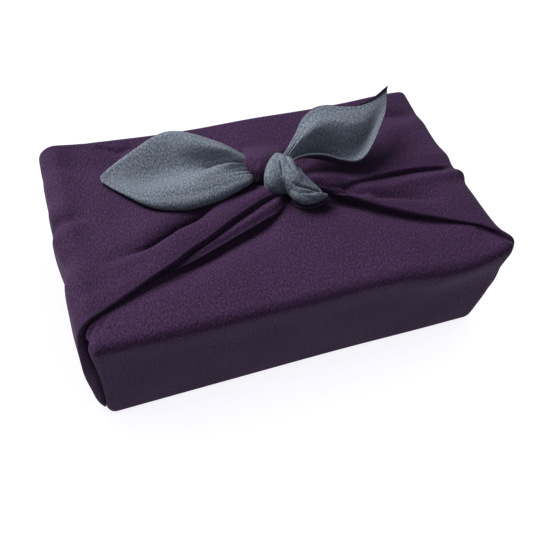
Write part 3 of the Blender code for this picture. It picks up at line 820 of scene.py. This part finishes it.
def points_and_normals(piece):
    count = len(piece.data.vertices)
    points, normals = np.empty(count * 3), np.empty(count * 3)
    piece.data.vertices.foreach_get("co", points)
    piece.data.vertices.foreach_get("normal", normals)
    return points.reshape(-1, 3), normals.reshape(-1, 3)


def move_points(piece, points):
    piece.data.vertices.foreach_set("co", np.asarray(points, float).ravel())
    piece.data.update()


def creased(piece, creases):
    """Presses soft troughs into the side of a piece that faces the press."""
    points, normals = points_and_normals(piece)
    moved = points.copy()
    for way, to_front, to_back, line in creases:
        way = np.array(way, float)
        flatten = np.eye(3) - np.outer(way, way)
        line = np.array(line, float) * MM
        key = np.arange(len(line), dtype=float)
        path = smooth_rows(key, line, np.linspace(0, key[-1], CREASE_STEPS * len(line)))
        tree = KDTree(len(path))
        for i, place in enumerate(path):
            tree.insert(flatten @ place[:3], i)
        tree.balance()
        low, high = path[:, :3].min(axis=0), path[:, :3].max(axis=0)
        # Only points near the line are looked at: three spreads away a crease has faded out.
        room = 3 * max(to_front, to_back) * MM + 6 * MM * np.abs(way)
        close = ((points > low - room) & (points < high + room)).all(axis=1)
        close = np.flatnonzero(close & (normals @ way < 0))
        found = [tree.find(flatten @ points[i]) for i in close]
        if not found:
            raise RuntimeError("A crease lies off " + piece.name)
        index = np.array([item[1] for item in found])
        gap = np.array([item[2] for item in found])
        behind = points[close, 1] > path[index, 1]
        spread = np.where(behind, to_back, to_front) * MM
        # The crease runs out over the first and the last sixth of its line.
        share = index / (len(path) - 1)
        ends = ease(share * 6) * ease((1 - share) * 6)
        # 1.7 gives a bottom a little sharper than a round trough's.
        depth = path[index, 3] * ends * np.exp(-((gap / spread) ** 1.7))
        moved[close] += depth[:, None] * way
    move_points(piece, moved)


def lowered(one):
    """The same crease in the cloth below, wider, so that what lies over it can dip."""
    way, to_front, to_back, line = one
    eased = [(*place[:3], LOWERED_SHARE * place[3]) for place in line]
    return way, to_front + LOWERED_WIDER, to_back + LOWERED_WIDER, eased


def uneven(piece, size, pitch, seed):
    """The small soft waves of a cloth that isn't quite flat; the foot stays on the floor."""
    points, normals = points_and_normals(piece)
    chance = np.random.default_rng(seed)
    wave = np.zeros(len(points))
    for _ in range(WAVES):
        way = chance.normal(size=3)
        way *= 2 * math.pi / (pitch * chance.uniform(0.7, 1.8) * np.linalg.norm(way))
        wave += np.sin(points @ way + chance.uniform(0, 2 * math.pi)) / math.sqrt(WAVES)
    hold = ease((points[:, 2] - STILL_FOOT) / WAVES_GROW)
    move_points(piece, points + (size * wave * hold)[:, None] * normals)


def dress(piece, slot, *finishes):
    """Gives a finished piece its place in the frame and its materials; slot is not used."""
    for finish in finishes:
        piece.data.materials.append(finish)
    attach(piece, "root")
    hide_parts(CAD_NODE)


# --- Materials ------------------------------------------------------------------------------


def add_node(tree, kind, inputs=None, **settings):
    """Adds a node to a tree with its settings, and fills its inputs with values or links."""
    made = tree.nodes.new(kind)
    for name, value in settings.items():
        setattr(made, name, value)
    for key, value in (inputs or {}).items():
        if isinstance(value, bpy.types.NodeSocket):
            tree.links.new(value, made.inputs[key])
        else:
            made.inputs[key].default_value = value
    return made


# Where a Mix node set to colours has its two inputs and its result
MIX_A, MIX_B, MIX_RESULT = 6, 7, 2


def new_material(name):
    """A new material, its node tree and its shader."""
    material = bpy.data.materials.new(name)
    material.use_nodes = True
    return material, material.node_tree, material.node_tree.nodes["Principled BSDF"]


def crepe(name, colour, contrast, painted_glint, follows_cloth=True):
    """Polyester crepe, woven from hard-twisted yarn that pulls the cloth into fine puckers.

    The eye sees a matt cloth with an even grain of tiny lights and darks and a faint silky
    bloom where it turns away. contrast says how far the grain's lights and darks lie apart.
    The shine on its crests is a painted highlight, mixed into the colour; the last argument sets
    its strength.
    """
    if name in bpy.data.materials:
        return bpy.data.materials[name]
    material, tree, shader = new_material(name)
    grain = cloth().grain
    place = add_node(tree, "ShaderNodeTexCoord").outputs["UV" if follows_cloth else "Object"]
    # The square is wrapped corner to corner, so its threads run at 45 degrees to the box.
    # A pucker is longer than it is wide, so the pattern is drawn out along one of them.
    threads = add_node(
        tree,
        "ShaderNodeMapping",
        {"Vector": place, "Rotation": (0, 0, math.pi / 4), "Scale": (1, 0.62, 1)},
    ).outputs["Vector"]
    # A real pucker is about 0.6 mm; it is drawn at 1 mm, about the finest that a picture shows.
    pucker = add_node(
        tree,
        "ShaderNodeTexNoise",
        {"Vector": threads, "Scale": 1 / grain, "Detail": 2.5, "Roughness": 0.62},
    ).outputs["Fac"]
    crests = add_node(
        tree, "ShaderNodeMapRange", {"Value": pucker, "From Min": 0.34, "From Max": 0.68}
    ).outputs["Result"]
    # Slow changes of 40 mm or so, where the cloth was pulled or folded.
    wear = add_node(
        tree,
        "ShaderNodeTexNoise",
        {"Vector": threads, "Scale": 26.0, "Detail": 3.0, "Roughness": 0.5},
    ).outputs["Fac"]
    slow = add_node(
        tree,
        "ShaderNodeMapRange",
        {"Value": wear, "From Min": 0.3, "From Max": 0.7, "To Min": 0.94, "To Max": 1.06},
    ).outputs["Result"]
    base = np.array(colour)
    dark, light = base * (1 - contrast), np.minimum(base * (1 + contrast), 1)
    grained = add_node(
        tree,
        "ShaderNodeMix",
        {"Factor": crests, MIX_A: (*dark, 1), MIX_B: (*light, 1)},
        data_type="RGBA",
    ).outputs[MIX_RESULT]
    # Painted highlights: the lights that the crests throw back, mixed into the base colour.
    painted_glints = add_node(
        tree,
        "ShaderNodeMapRange",
        {"Value": pucker, "From Min": 0.60, "From Max": 0.74, "To Max": painted_glint},
    ).outputs["Result"]
    painted_glint_colour = np.minimum(base * 1.9 + 0.02, 1)
    with_painted_glints = add_node(
        tree,
        "ShaderNodeMix",
        {"Factor": painted_glints, MIX_A: grained, MIX_B: (*painted_glint_colour, 1)},
        data_type="RGBA",
    ).outputs[MIX_RESULT]
    worn = add_node(
        tree, "ShaderNodeVectorMath", {0: with_painted_glints, "Scale": slow}, operation="SCALE"
    ).outputs["Vector"]
    bump = add_node(
        tree, "ShaderNodeBump", {"Height": pucker, "Strength": 1.0, "Distance": 0.6 * grain}
    ).outputs["Normal"]
    tree.links.new(worn, shader.inputs["Base Color"])
    tree.links.new(bump, shader.inputs["Normal"])
    shader.inputs["Roughness"].default_value = 0.72
    shader.inputs["Specular IOR Level"].default_value = 0.1
    shader.inputs["Sheen Weight"].default_value = 0.05
    shader.inputs["Sheen Roughness"].default_value = 0.45
    return material


def purple_crepe():
    """The cloth's outer side."""
    return crepe("purple_polyester_crepe", cloth().outside, contrast=0.42, painted_glint=0.50)


def grey_crepe(follows_cloth=True):
    """Its inner side; on the knot the pattern doesn't follow the cloth."""
    name = "grey_polyester_crepe" if follows_cloth else "grey_polyester_crepe_round"
    return crepe(name, cloth().inside, contrast=0.36, painted_glint=0.55, follows_cloth=follows_cloth)


def spun_thread(name, colour):
    """Spun polyester sewing thread, a little smoother and shinier than the cloth it holds."""
    material, tree, shader = new_material(name)
    place = add_node(tree, "ShaderNodeTexCoord").outputs["Object"]
    # The twist of the ply, about 0.4 mm from turn to turn.
    twist = add_node(
        tree, "ShaderNodeTexWave", {"Vector": place, "Scale": 400.0, "Distortion": 1.5}
    ).outputs["Fac"]
    base = np.array(colour)
    twisted = add_node(
        tree,
        "ShaderNodeMix",
        {"Factor": twist, MIX_A: (*(base * 0.75), 1), MIX_B: (*base, 1)},
        data_type="RGBA",
    ).outputs[MIX_RESULT]
    tree.links.new(twisted, shader.inputs["Base Color"])
    shader.inputs["Roughness"].default_value = 0.5
    return material


# --- The cloth round the box ----------------------------------------------------------------


def outline(at_side, at_front, at_back):
    """The parcel's outline in plan, drawn in at its sides, front and back, from the front left."""
    half_long, half_wide = parcel().length / 2, parcel().width / 2
    radius = max(parcel().corner - max(at_side, at_front, at_back), LEAST_CORNER)
    left, right = at_side + radius - half_long, half_long - at_side - radius
    front, back = at_front + radius - half_wide, half_wide - at_back - radius
    corners = ((left, front, 180), (right, front, 270), (right, back, 0), (left, back, 90))
    steps = (LONG_STEPS, SHORT_STEPS, LONG_STEPS, SHORT_STEPS)
    arcs = []
    for x, y, start in corners:
        angles = np.radians(start + 90 * np.arange(CORNER_STEPS + 1) / CORNER_STEPS)
        arcs.append(np.column_stack((x + radius * np.cos(angles), y + radius * np.sin(angles))))
    points = []
    for index, arc in enumerate(arcs):
        following = arcs[(index + 1) % 4][0]
        share = np.arange(1, steps[index])[:, None] / steps[index]
        points += [arc, arc[-1] + (following - arc[-1]) * share]
    return np.concatenate(points)


def edge_radii():
    """The radius of the top edge at each point of the outline, blended round the corners."""
    plan = outline(0, 0, 0)
    half_long, half_wide = parcel().length / 2, parcel().width / 2
    distances = (half_long - np.abs(plan[:, 0]), plan[:, 1] + half_wide, half_wide - plan[:, 1])
    # The millimetre keeps a side's own edge from being endlessly near.
    nearness = 1 / (np.stack(distances) + 1 * MM) ** 2
    radii = np.array((parcel().side_edge, parcel().front_edge, parcel().back_edge))
    return (nearness * radii[:, None]).sum(axis=0) / nearness.sum(axis=0)


def unfolded(plans, heights, first_side_ring):
    """The cloth round the box laid flat: the top as it is, and each side turned out from it."""
    plans, heights = np.asarray(plans), np.asarray(heights)
    full = np.concatenate((plans, plans[:, :1]), axis=1)
    levels = np.concatenate((heights, heights[:, :1]), axis=1)
    solid = np.concatenate((full, levels[..., None]), axis=2)
    steps = np.linalg.norm(np.diff(solid, axis=0), axis=2)
    steps[:first_side_ring] = 0
    down = np.concatenate((np.zeros((1, full.shape[1])), steps.cumsum(axis=0)))
    rim = full[-1]
    along = np.concatenate(((0,), np.linalg.norm(np.diff(rim, axis=0), axis=1).cumsum()))
    flat = full.copy()
    start = full[first_side_ring]
    corner = CORNER_STEPS + 1
    long_end = corner + LONG_STEPS - 1 + corner
    short_end = long_end + SHORT_STEPS - 1
    # The front, the right side, the back and the left side: the columns from and to, the axis
    # along it, the way out from the top, and the way its columns run along the axis.
    spans = (
        (0, long_end, 0, -1, 1),
        (long_end, short_end, 1, 1, 1),
        (short_end, short_end + long_end, 0, 1, -1),
        (short_end + long_end, full.shape[1], 1, -1, -1),
    )
    for low, high, axis, out, way in spans:
        span = slice(low, high)
        middle = (along[span][0] + along[span][-1]) / 2
        for i in range(first_side_ring, len(flat)):
            flat[i, span, axis] = way * (along[span] - middle)
            flat[i, span, 1 - axis] = start[span, 1 - axis] + out * down[i, span]
    return flat


def wrap_the_box():
    """The cloth drawn tight round the box: the front, the top, the back and the bottom."""
    size = parcel()
    middle = KNOT[:2]
    edges = size.side_edge, size.front_edge, size.back_edge
    inner = outline(*edges)
    radii = edge_radii()
    plans = [middle + (inner - middle) * k / TOP_RINGS for k in range(1, TOP_RINGS)]
    heights = [np.full(len(inner), size.height)] * len(plans)
    for k in range(EDGE_RINGS + 1):
        angle = math.pi / 2 * k / EDGE_RINGS
        inset = 1 - math.sin(angle)
        plans.append(outline(*[edge * inset for edge in edges]))
        heights.append(size.height - radii * (1 - math.cos(angle)))
    for k in range(1, SIDE_RINGS + 1):
        share = k / SIDE_RINGS
        plans.append(outline(0, 0, 0))
        heights.append((size.height - radii) * (1 - share) + size.foot_edge * share)
    for k in range(1, FOOT_RINGS + 1):
        angle = math.pi / 2 * k / FOOT_RINGS
        inset = size.foot_edge * (1 - math.cos(angle))
        plans.append(outline(inset, inset, inset))
        heights.append(np.full(len(inner), size.foot_edge * (1 - math.sin(angle))))
    uvs = unfolded(plans, heights, TOP_RINGS - 1)
    rings = [pushed(np.column_stack((plan, z))) for plan, z in zip(plans, heights)]
    top = pushed(np.array((*middle, size.height)))
    return piece_of("wrap_cloth", rings, uvs, (top, (0, 0, 0)))


# --- The gathered flaps ---------------------------------------------------------------------


def on_side(side, run, y, rise):
    """The place at `run` along the cloth and `rise` off the box, on the left (-1) or right (1)."""
    edge = parcel().side_edge
    turn = np.clip((run - flat_run()) / edge, 0, math.pi / 2)
    out = np.minimum(run, flat_run()) + edge * np.sin(turn) + rise * np.sin(turn)
    down = edge * (1 - np.cos(turn)) + np.maximum(run - flat_run() - edge_run(), 0)
    return pushed(np.stack((side * out, y, parcel().height - down + rise * np.cos(turn)), axis=-1))


def folds_at(folds, run, y):
    """How far the folds lower the cloth here."""
    dip = np.zeros(len(y))
    half = parcel().length / 2
    for row in zip(*folds.values()):
        first, last, y_first, y_edge, y_last, d_first, d_edge, d_last, to_front, to_back = row
        stops = (first, min(half, last), last)
        line = np.interp(run, stops, (y_first, y_edge, y_last))
        depth = np.interp(run, stops, (d_first, d_edge, d_last))
        fade = ease((run - first) / FOLD_START) * ease((last - run) / FOLD_END)
        spread = np.where(y < line, to_front, to_back)
        dip += depth * fade * np.exp(-(((y - line) / spread) ** 2))
    return dip


def gather_flap(name, side, sections, folds, runs, sunk=FLAP_SUNK):
    """A gathered flap: rolled along its two borders, sunk a little into what it lies on."""
    across = np.linspace(0, 1, FLAP_STEPS)
    turns = np.radians(np.linspace(0, 180, FLAP_BORDER_STEPS + 1)[1:-1])
    rings = []
    for run in runs:
        at = {column: smooth(sections["run"], sizes, run) for column, sizes in sections.items()}
        y = at["front"] + LIP + (at["back"] - at["front"] - 2 * LIP) * across
        inwards = y - y[0]
        crest = min(at["crest_in"], inwards[-1] / 3)
        rise = smooth(
            np.array((0, crest, (crest + inwards[-1]) / 2, inwards[-1])),
            np.array((at["lip_rise"], at["crest_rise"], at["middle_rise"], at["back_rise"])),
            inwards,
        )
        if folds is not None:
            dip = folds_at(folds, run, y) * held_at_borders(across)
            rise = np.maximum(rise - dip, LEAST_RISE)
        back_y, front_y = y[-1] + LIP * np.sin(turns), y[0] - LIP * np.sin(turns[::-1])
        back_up = rise[-1] / 2 * (1 + np.cos(turns))
        front_up = rise[0] / 2 * (1 + np.cos(turns[::-1]))
        under_y = np.linspace(y[-1], y[0], FLAP_UNDER_STEPS)
        ring_y = np.concatenate((y, back_y, under_y, front_y))
        ring_up = np.concatenate((rise, back_up, np.full(FLAP_UNDER_STEPS, -sunk), front_up))
        rings.append(on_side(side, np.full(len(ring_y), run), ring_y, ring_up))
    return piece_of(name, rings, ring_uvs(rings))


def flap_runs(sections):
    """Where a flap has its sections: closer over the edge, and ending just above the floor."""
    over = flat_run() + edge_run()
    top = np.linspace(sections["run"][0], flat_run() - BEFORE_EDGE, FLAP_TOP_RINGS)
    edge = flat_run() + edge_run() * np.linspace(0, 1, FLAP_EDGE_RINGS)
    side = np.linspace(over, full_run() - FLAP_CLEARANCE, FLAP_SIDE_RINGS)[1:]
    return np.concatenate((top, edge, side))


# --- The knot -------------------------------------------------------------------------------


def squared(share):
    """The share of a half size, drawn towards its ends so that a round becomes a fuller one."""
    return np.sign(share) * np.abs(share) ** 0.75


def twist_strand(name, rows, count, heart):
    """A strand of the knot: a flattened roll of cloth along its centre line, in count rings."""
    key = np.arange(len(rows["x"]), dtype=float)
    at = np.linspace(0, key[-1], count)
    line = np.column_stack([smooth(key, rows[axis], at) for axis in "xyz"])
    broad, thick = smooth(key, rows["broad"], at), smooth(key, rows["thick"], at)
    along = np.gradient(line, axis=0)
    along /= np.linalg.norm(along, axis=1)[:, None]
    angles = np.linspace(0, 2 * math.pi, STRAND_STEPS, endpoint=False)
    rings = []
    for i in range(count):
        out = line[i] - heart
        out -= along[i] * out.dot(along[i])
        out /= np.linalg.norm(out)
        wide = np.cross(along[i], out)
        a, b = broad[i] / 2 * squared(np.cos(angles)), thick[i] / 2 * squared(np.sin(angles))
        rings.append(line[i] + np.outer(a, wide) + np.outer(b, out))
    return piece_of(name, rings, ring_uvs(rings))


def melted(name, parts):
    """The parts as one soft skin: their crossings are closed up and eased."""
    shell = bmesh.new()
    for part in parts:
        shell.from_mesh(part.data)
    mesh = bpy.data.meshes.new(name)
    shell.to_mesh(mesh)
    shell.free()
    for part in parts:
        bpy.data.objects.remove(part, do_unlink=True)
    rough = new_object(name + "_rough", mesh)
    skin = rough.modifiers.new("skin", "REMESH")
    skin.mode, skin.voxel_size = "VOXEL", KNOT_VOXEL
    eased = rough.modifiers.new("eased", "SMOOTH")
    eased.factor, eased.iterations = 0.5, KNOT_EASING
    piece = applied(name, rough)
    piece.data.materials.clear()
    return piece


# --- The ears -------------------------------------------------------------------------------

INNER_SIDE, OUTER_SIDE = 0, 1  # the numbers of an ear's two materials
RIM_TURN = 100  # how far round an edge curls, in degrees
HEM_FIRST_ROW = 14  # the rows before it are hidden in the knot's folds
HEM_LARGEST_SHARE = 0.36  # of the ear's breadth, from its edge to a line of stitches


def pleats_at(pleats, along, across):
    """How far the pleats lower the ear at this share of its length."""
    dip = np.zeros(len(across))
    for at_root, at_end, reach, depth, spread in zip(*pleats.values()):
        line = at_root + (at_end - at_root) * along / reach
        dip += depth * ease(1 - along / reach) * np.exp(-(((across - line) / spread) ** 2))
    return dip * held_at_borders(across)


def ear_surface(rows, relief, pleats):
    """The upper side of an ear, in rows across it, and how its back and front edges curl."""
    key = np.arange(len(rows["back_x"]), dtype=float)
    at = np.linspace(0, key[-1], EAR_RINGS)
    value = {column: smooth(key, sizes, at) for column, sizes in rows.items()}
    back = np.column_stack([value["back_" + axis] for axis in "xyz"])
    front = np.column_stack([value["front_" + axis] for axis in "xyz"])
    lifts = smooth_rows(key, relief, at)
    across = np.linspace(0, 1, EAR_STEPS)
    upper = []
    for i in range(EAR_RINGS):
        row = back[i] + np.outer(across, front[i] - back[i])
        row[:, 2] += smooth(EAR_SHARES, lifts[i], across)
        row[:, 2] -= pleats_at(pleats, i / (EAR_RINGS - 1), across)
        upper.append(row)
    curls = [np.interp(at, key, rows[edge + "_curl"]) for edge in ("back", "front")]
    return np.array(upper), *curls


def open_ear(name, ear, grey_rim):
    """A corner of the square: a thin leaf of cloth whose edges turn down where they curl.

    ear holds its edges, its relief and its pleats. grey_rim says how many of the steps round the
    back and the front edge still show the inner side.
    """
    upper, back_curl, front_curl = ear_surface(*ear)
    down = np.array(DOWN)
    turns = np.radians(np.linspace(0, RIM_TURN, RIM_STEPS + 1)[1:])
    rings = []
    for i, row in enumerate(upper):
        way = (row[-1] - row[0]) / np.linalg.norm(row[-1] - row[0])
        rims = []
        for edge, out, curl in ((row[0], -way, back_curl[i]), (row[-1], way, front_curl[i])):
            # An edge that curls up shows the outer side along it.
            size = max(curl, LEAST_CURL) if curl >= 0 else curl
            rim = np.outer(np.sin(turns), out) + np.outer(1 - np.cos(turns), down)
            rims.append(edge + size * rim)
        under = row[::-1] + down * cloth().thickness
        rings.append(np.concatenate((rims[0][::-1], row, rims[1], under)))
    finishes = np.full(len(rings[0]), OUTER_SIDE)
    finishes[RIM_STEPS - grey_rim[0] : RIM_STEPS + EAR_STEPS - 1 + grey_rim[1]] = INNER_SIDE
    uvs = ring_uvs(rings, RIM_STEPS + EAR_STEPS // 2)
    return piece_of(name, rings, uvs, finishes=finishes)


def hem_lines(ear):
    """Two lines on an ear, a hem's breadth in from its back edge and from its front one."""
    upper = ear_surface(*ear)[0]
    across = np.linspace(0, 1, EAR_STEPS)
    lines = []
    for from_front in (False, True):
        line = []
        for row in upper[HEM_FIRST_ROW:]:
            share = cloth().hem / np.linalg.norm(row[-1] - row[0])
            # No hem shows where the ear is narrow, at its root and at its tip.
            if share < HEM_LARGEST_SHARE:
                at = 1 - share if from_front else share
                line.append([np.interp(at, across, row[:, axis]) for axis in range(3)])
        lines.append(line)
    return lines


def stitch_tree(thread):
    """Geometry Nodes that lay a running stitch along the edges of a mesh."""
    tree = bpy.data.node_groups.new("hem_stitches", "GeometryNodeTree")
    sockets = tree.interface
    sockets.new_socket("Lines", in_out="INPUT", socket_type="NodeSocketGeometry")
    for name in ("Pitch", "Length", "Thread"):
        sockets.new_socket(name, in_out="INPUT", socket_type="NodeSocketFloat").subtype = "DISTANCE"
    sockets.new_socket("Stitches", in_out="OUTPUT", socket_type="NodeSocketGeometry")
    given = add_node(tree, "NodeGroupInput").outputs
    curve = add_node(tree, "GeometryNodeMeshToCurve", {"Mesh": given["Lines"]}).outputs["Curve"]
    spaced = add_node(
        tree, "GeometryNodeResampleCurve", {"Curve": curve, "Length": given["Pitch"]}, mode="LENGTH"
    ).outputs["Curve"]
    along = add_node(tree, "GeometryNodeInputTangent").outputs["Tangent"]
    turn = add_node(tree, "FunctionNodeAlignRotationToVector", {"Vector": along}, axis="X")
    bead = add_node(
        tree, "GeometryNodeMeshUVSphere", {"Segments": 6, "Rings": 4, "Radius": 0.5}
    ).outputs["Mesh"]
    thick = given["Thread"]
    size = add_node(
        tree, "ShaderNodeCombineXYZ", {"X": given["Length"], "Y": thick, "Z": thick}
    ).outputs["Vector"]
    laid = add_node(
        tree,
        "GeometryNodeInstanceOnPoints",
        {"Points": spaced, "Instance": bead, "Rotation": turn.outputs["Rotation"], "Scale": size},
    ).outputs["Instances"]
    solid = add_node(tree, "GeometryNodeRealizeInstances", {"Geometry": laid}).outputs["Geometry"]
    sewn = add_node(
        tree, "GeometryNodeSetMaterial", {"Geometry": solid, "Material": thread}
    ).outputs["Geometry"]
    add_node(tree, "NodeGroupOutput", {"Stitches": sewn})
    return tree


def stitched(name, lines, tree):
    """A hem's stitches along its lines, as a plain mesh."""
    points, edges = [], []
    for line in lines:
        first = len(points)
        points += [tuple(point) for point in line]
        edges += [(i, i + 1) for i in range(first, len(points) - 1)]
    guide = bpy.data.meshes.new(name + "_lines")
    guide.from_pydata(points, edges, [])
    sewing = new_object(name + "_lines", guide)
    nodes = sewing.modifiers.new("stitches", "NODES")
    nodes.node_group = tree
    look = cloth()
    sizes = {"Pitch": look.stitch_pitch, "Length": look.stitch_length, "Thread": look.thread}
    for item in tree.interface.items_tree:
        if item.item_type == "SOCKET" and item.in_out == "INPUT" and item.name in sizes:
            nodes[item.identifier] = sizes[item.name]
    return applied(name, sewing)


# --- The stage ------------------------------------------------------------------------------

FLOOR_SIZE = 6
KEY_PLACE, KEY_TARGET = (-1.15, 1.35, 1.85), (0, 0, 0.06)
KEY_SIZE = 1.5
CAMERA_PLACE = (-0.10766509, -0.23010532, 0.37203324)
# The camera's right, up and back, as they stand in the photograph
CAMERA_AXES = (
    (0.94008273, -0.32881066, 0.09015541),
    (0.22553525, 0.79803403, 0.55881619),
    (-0.25569181, -0.50500023, 0.82437641),
)


def placed(axes, place):
    """The matrix of an object with these three axes, at this place."""
    matrix = np.eye(4)
    matrix[:3, :3] = np.array(axes).T
    matrix[:3, 3] = place
    return Matrix(matrix.tolist())


def aim(lamp, place, target):
    """Puts a light at a place, looking at a target."""
    back = np.subtract(place, target)
    back /= np.linalg.norm(back)
    right = np.cross((0, 0, 1), back)
    right /= np.linalg.norm(right)
    lamp.matrix_world = placed((right, np.cross(back, right), back), place)


# --- Operators ------------------------------------------------------------------------------


class FUROSHIKI_OT_wrap_box(bpy.types.Operator):
    """Draws the cloth tight round the box"""

    bl_idname = "furoshiki.wrap_box"
    bl_label = "Wrap the box"

    def execute(self, context):
        piece = wrap_the_box()
        creased(piece, WRAP_CREASES)
        creased(piece, [lowered(one) for one in (*LEFT_CREASES, *RIGHT_CREASES)])
        uneven(piece, size=0.22 * MM, pitch=0.05, seed=4)
        dress(piece, "purple_side", purple_crepe())
        return {"FINISHED"}


class FUROSHIKI_OT_gather_flaps(bpy.types.Operator):
    """Gathers the left and right corners of the square over the top"""

    bl_idname = "furoshiki.gather_flaps"
    bl_label = "Gather the flaps"

    def execute(self, context):
        left = gather_flap("left_flap", -1, LEFT_FLAP, LEFT_FOLDS, flap_runs(LEFT_FLAP))
        right = gather_flap("right_flap", 1, RIGHT_FLAP, RIGHT_FOLDS, flap_runs(RIGHT_FLAP))
        tuck_runs = np.linspace(LEFT_TUCK["run"][0], LEFT_TUCK["run"][-1], TUCK_RINGS)
        tuck = gather_flap("left_tuck", -1, LEFT_TUCK, None, tuck_runs, TUCK_SUNK)
        creased(left, LEFT_CREASES)
        creased(right, RIGHT_CREASES)
        for piece, seed in ((left, 11), (right, 12), (tuck, 13)):
            uneven(piece, size=0.2 * MM, pitch=0.03, seed=seed)
            dress(piece, "purple_side", purple_crepe())
        return {"FINISHED"}


class FUROSHIKI_OT_tie_knot(bpy.types.Operator):
    """Ties the two gathered corners in a knot"""

    bl_idname = "furoshiki.tie_knot"
    bl_label = "Tie the knot"

    def execute(self, context):
        neck = twist_strand("purple_neck", PURPLE_NECK, count=60, heart=NECK)
        rim = twist_strand("purple_rim", PURPLE_RIM, count=40, heart=KNOT)
        knot = melted("grey_knot", [twist_strand(*strand) for strand in GREY_STRANDS])
        creased(knot, KNOT_CREASES)
        for piece in (neck, rim):
            dress(piece, "purple_side", purple_crepe())
        dress(knot, "grey_side", grey_crepe(follows_cloth=False))
        return {"FINISHED"}


class FUROSHIKI_OT_open_ears(bpy.types.Operator):
    """Opens the two ends that stand out from the knot"""

    bl_idname = "furoshiki.open_ears"
    bl_label = "Open the ears"

    def execute(self, context):
        left = open_ear("left_ear", LEFT_EAR, grey_rim=(6, 6))
        right = open_ear("right_ear", RIGHT_EAR, grey_rim=(0, 5))
        for piece in (left, right):
            dress(piece, "grey_side", grey_crepe(), purple_crepe())
        return {"FINISHED"}


class FUROSHIKI_OT_stitch_hems(bpy.types.Operator):
    """Sews the hems of the two ears"""

    bl_idname = "furoshiki.stitch_hems"
    bl_label = "Stitch the hems"

    def execute(self, context):
        thread = spun_thread("grey_spun_polyester_thread", cloth().thread_colour)
        tree = stitch_tree(thread)
        left = stitched("left_hem", hem_lines(LEFT_EAR), tree)
        right = stitched("right_hem", hem_lines(RIGHT_EAR), tree)
        for hem in (left, right):
            dress(hem, None)
        return {"FINISHED"}


class FUROSHIKI_OT_set_stage(bpy.types.Operator):
    """Lays the pale floor and sets the soft light and the camera"""

    bl_idname = "furoshiki.set_stage"
    bl_label = "Set the stage"

    def execute(self, context):
        stage = context.scene.wrap_stage
        bpy.ops.mesh.primitive_plane_add(size=FLOOR_SIZE, location=(0, 0, 0))
        floor = context.active_object
        floor.name = "floor"
        paper, _, shader = new_material("white_background_paper")
        shader.inputs["Base Color"].default_value = (*stage.floor, 1)
        shader.inputs["Roughness"].default_value = 0.95
        floor.data.materials.append(paper)
        floor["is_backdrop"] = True

        world = bpy.data.worlds.new("surround")
        context.scene.world = world
        world.use_nodes = True
        sky = world.node_tree.nodes["Background"]
        sky.inputs["Color"].default_value = (*stage.sky, 1)
        sky.inputs["Strength"].default_value = stage.surround

        # The key lights the parcel alone and an even light whitens the floor, as on a light table.
        lit, ground = bpy.data.collections.new("parcel"), bpy.data.collections.new("ground")
        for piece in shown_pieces():
            lit.objects.link(piece)
        ground.objects.link(floor)
        lamp = bpy.data.lights.new("key", "AREA")
        lamp.shape, lamp.size, lamp.energy = "DISK", KEY_SIZE, stage.key_power
        key = new_object("key", lamp)
        aim(key, KEY_PLACE, KEY_TARGET)
        key.light_linking.receiver_collection = lit
        even = bpy.data.lights.new("even", "SUN")
        even.energy, even.angle = stage.floor_power, 1.0
        wash = new_object("even", even)
        wash.light_linking.receiver_collection = ground
        wash.light_linking.blocker_collection = ground

        lens = bpy.data.cameras.new("camera")
        lens.lens, lens.sensor_width, lens.clip_start = stage.lens, 36, 0.01
        camera = new_object("camera", lens)
        camera.matrix_world = placed(CAMERA_AXES, CAMERA_PLACE)
        context.scene.camera = camera
        context.scene.view_settings.view_transform = "Standard"
        context.scene.view_settings.gamma = 0.8
        return {"FINISHED"}


OPERATORS = (
    FUROSHIKI_OT_wrap_box,
    FUROSHIKI_OT_gather_flaps,
    FUROSHIKI_OT_tie_knot,
    FUROSHIKI_OT_open_ears,
    FUROSHIKI_OT_stitch_hems,
    FUROSHIKI_OT_set_stage,
)


class FUROSHIKI_PT_steps(bpy.types.Panel):
    """The steps of the wrap, in order"""

    bl_idname = "FUROSHIKI_PT_steps"
    bl_label = "Furoshiki wrap"
    bl_space_type = "VIEW_3D"
    bl_region_type = "UI"
    bl_category = "Wrap"

    def draw(self, context):
        for group in ("wrap_parcel", "wrap_cloth", "wrap_stage"):
            box = self.layout.box()
            sizes = getattr(context.scene, group)
            for name in sizes.__annotations__:
                box.prop(sizes, name)
        for operator in OPERATORS:
            self.layout.operator(operator.bl_idname)


GROUPS = {"wrap_parcel": ParcelSizes, "wrap_cloth": ClothLook, "wrap_stage": StageLook}


def register():
    for group in GROUPS.values():
        bpy.utils.register_class(group)
    for name, group in GROUPS.items():
        setattr(bpy.types.Scene, name, PointerProperty(type=group))
    for kind in (*OPERATORS, FUROSHIKI_PT_steps):
        bpy.utils.register_class(kind)


def unregister():
    for kind in (*OPERATORS, FUROSHIKI_PT_steps):
        bpy.utils.unregister_class(kind)
    for name, group in GROUPS.items():
        delattr(bpy.types.Scene, name)
        bpy.utils.unregister_class(group)


def main():
    register()
    bpy.ops.furoshiki.wrap_box()
    bpy.ops.furoshiki.gather_flaps()
    bpy.ops.furoshiki.tie_knot()
    bpy.ops.furoshiki.open_ears()
    bpy.ops.furoshiki.stitch_hems()
    bpy.ops.furoshiki.set_stage()


if __name__ == "__main__":
    main()
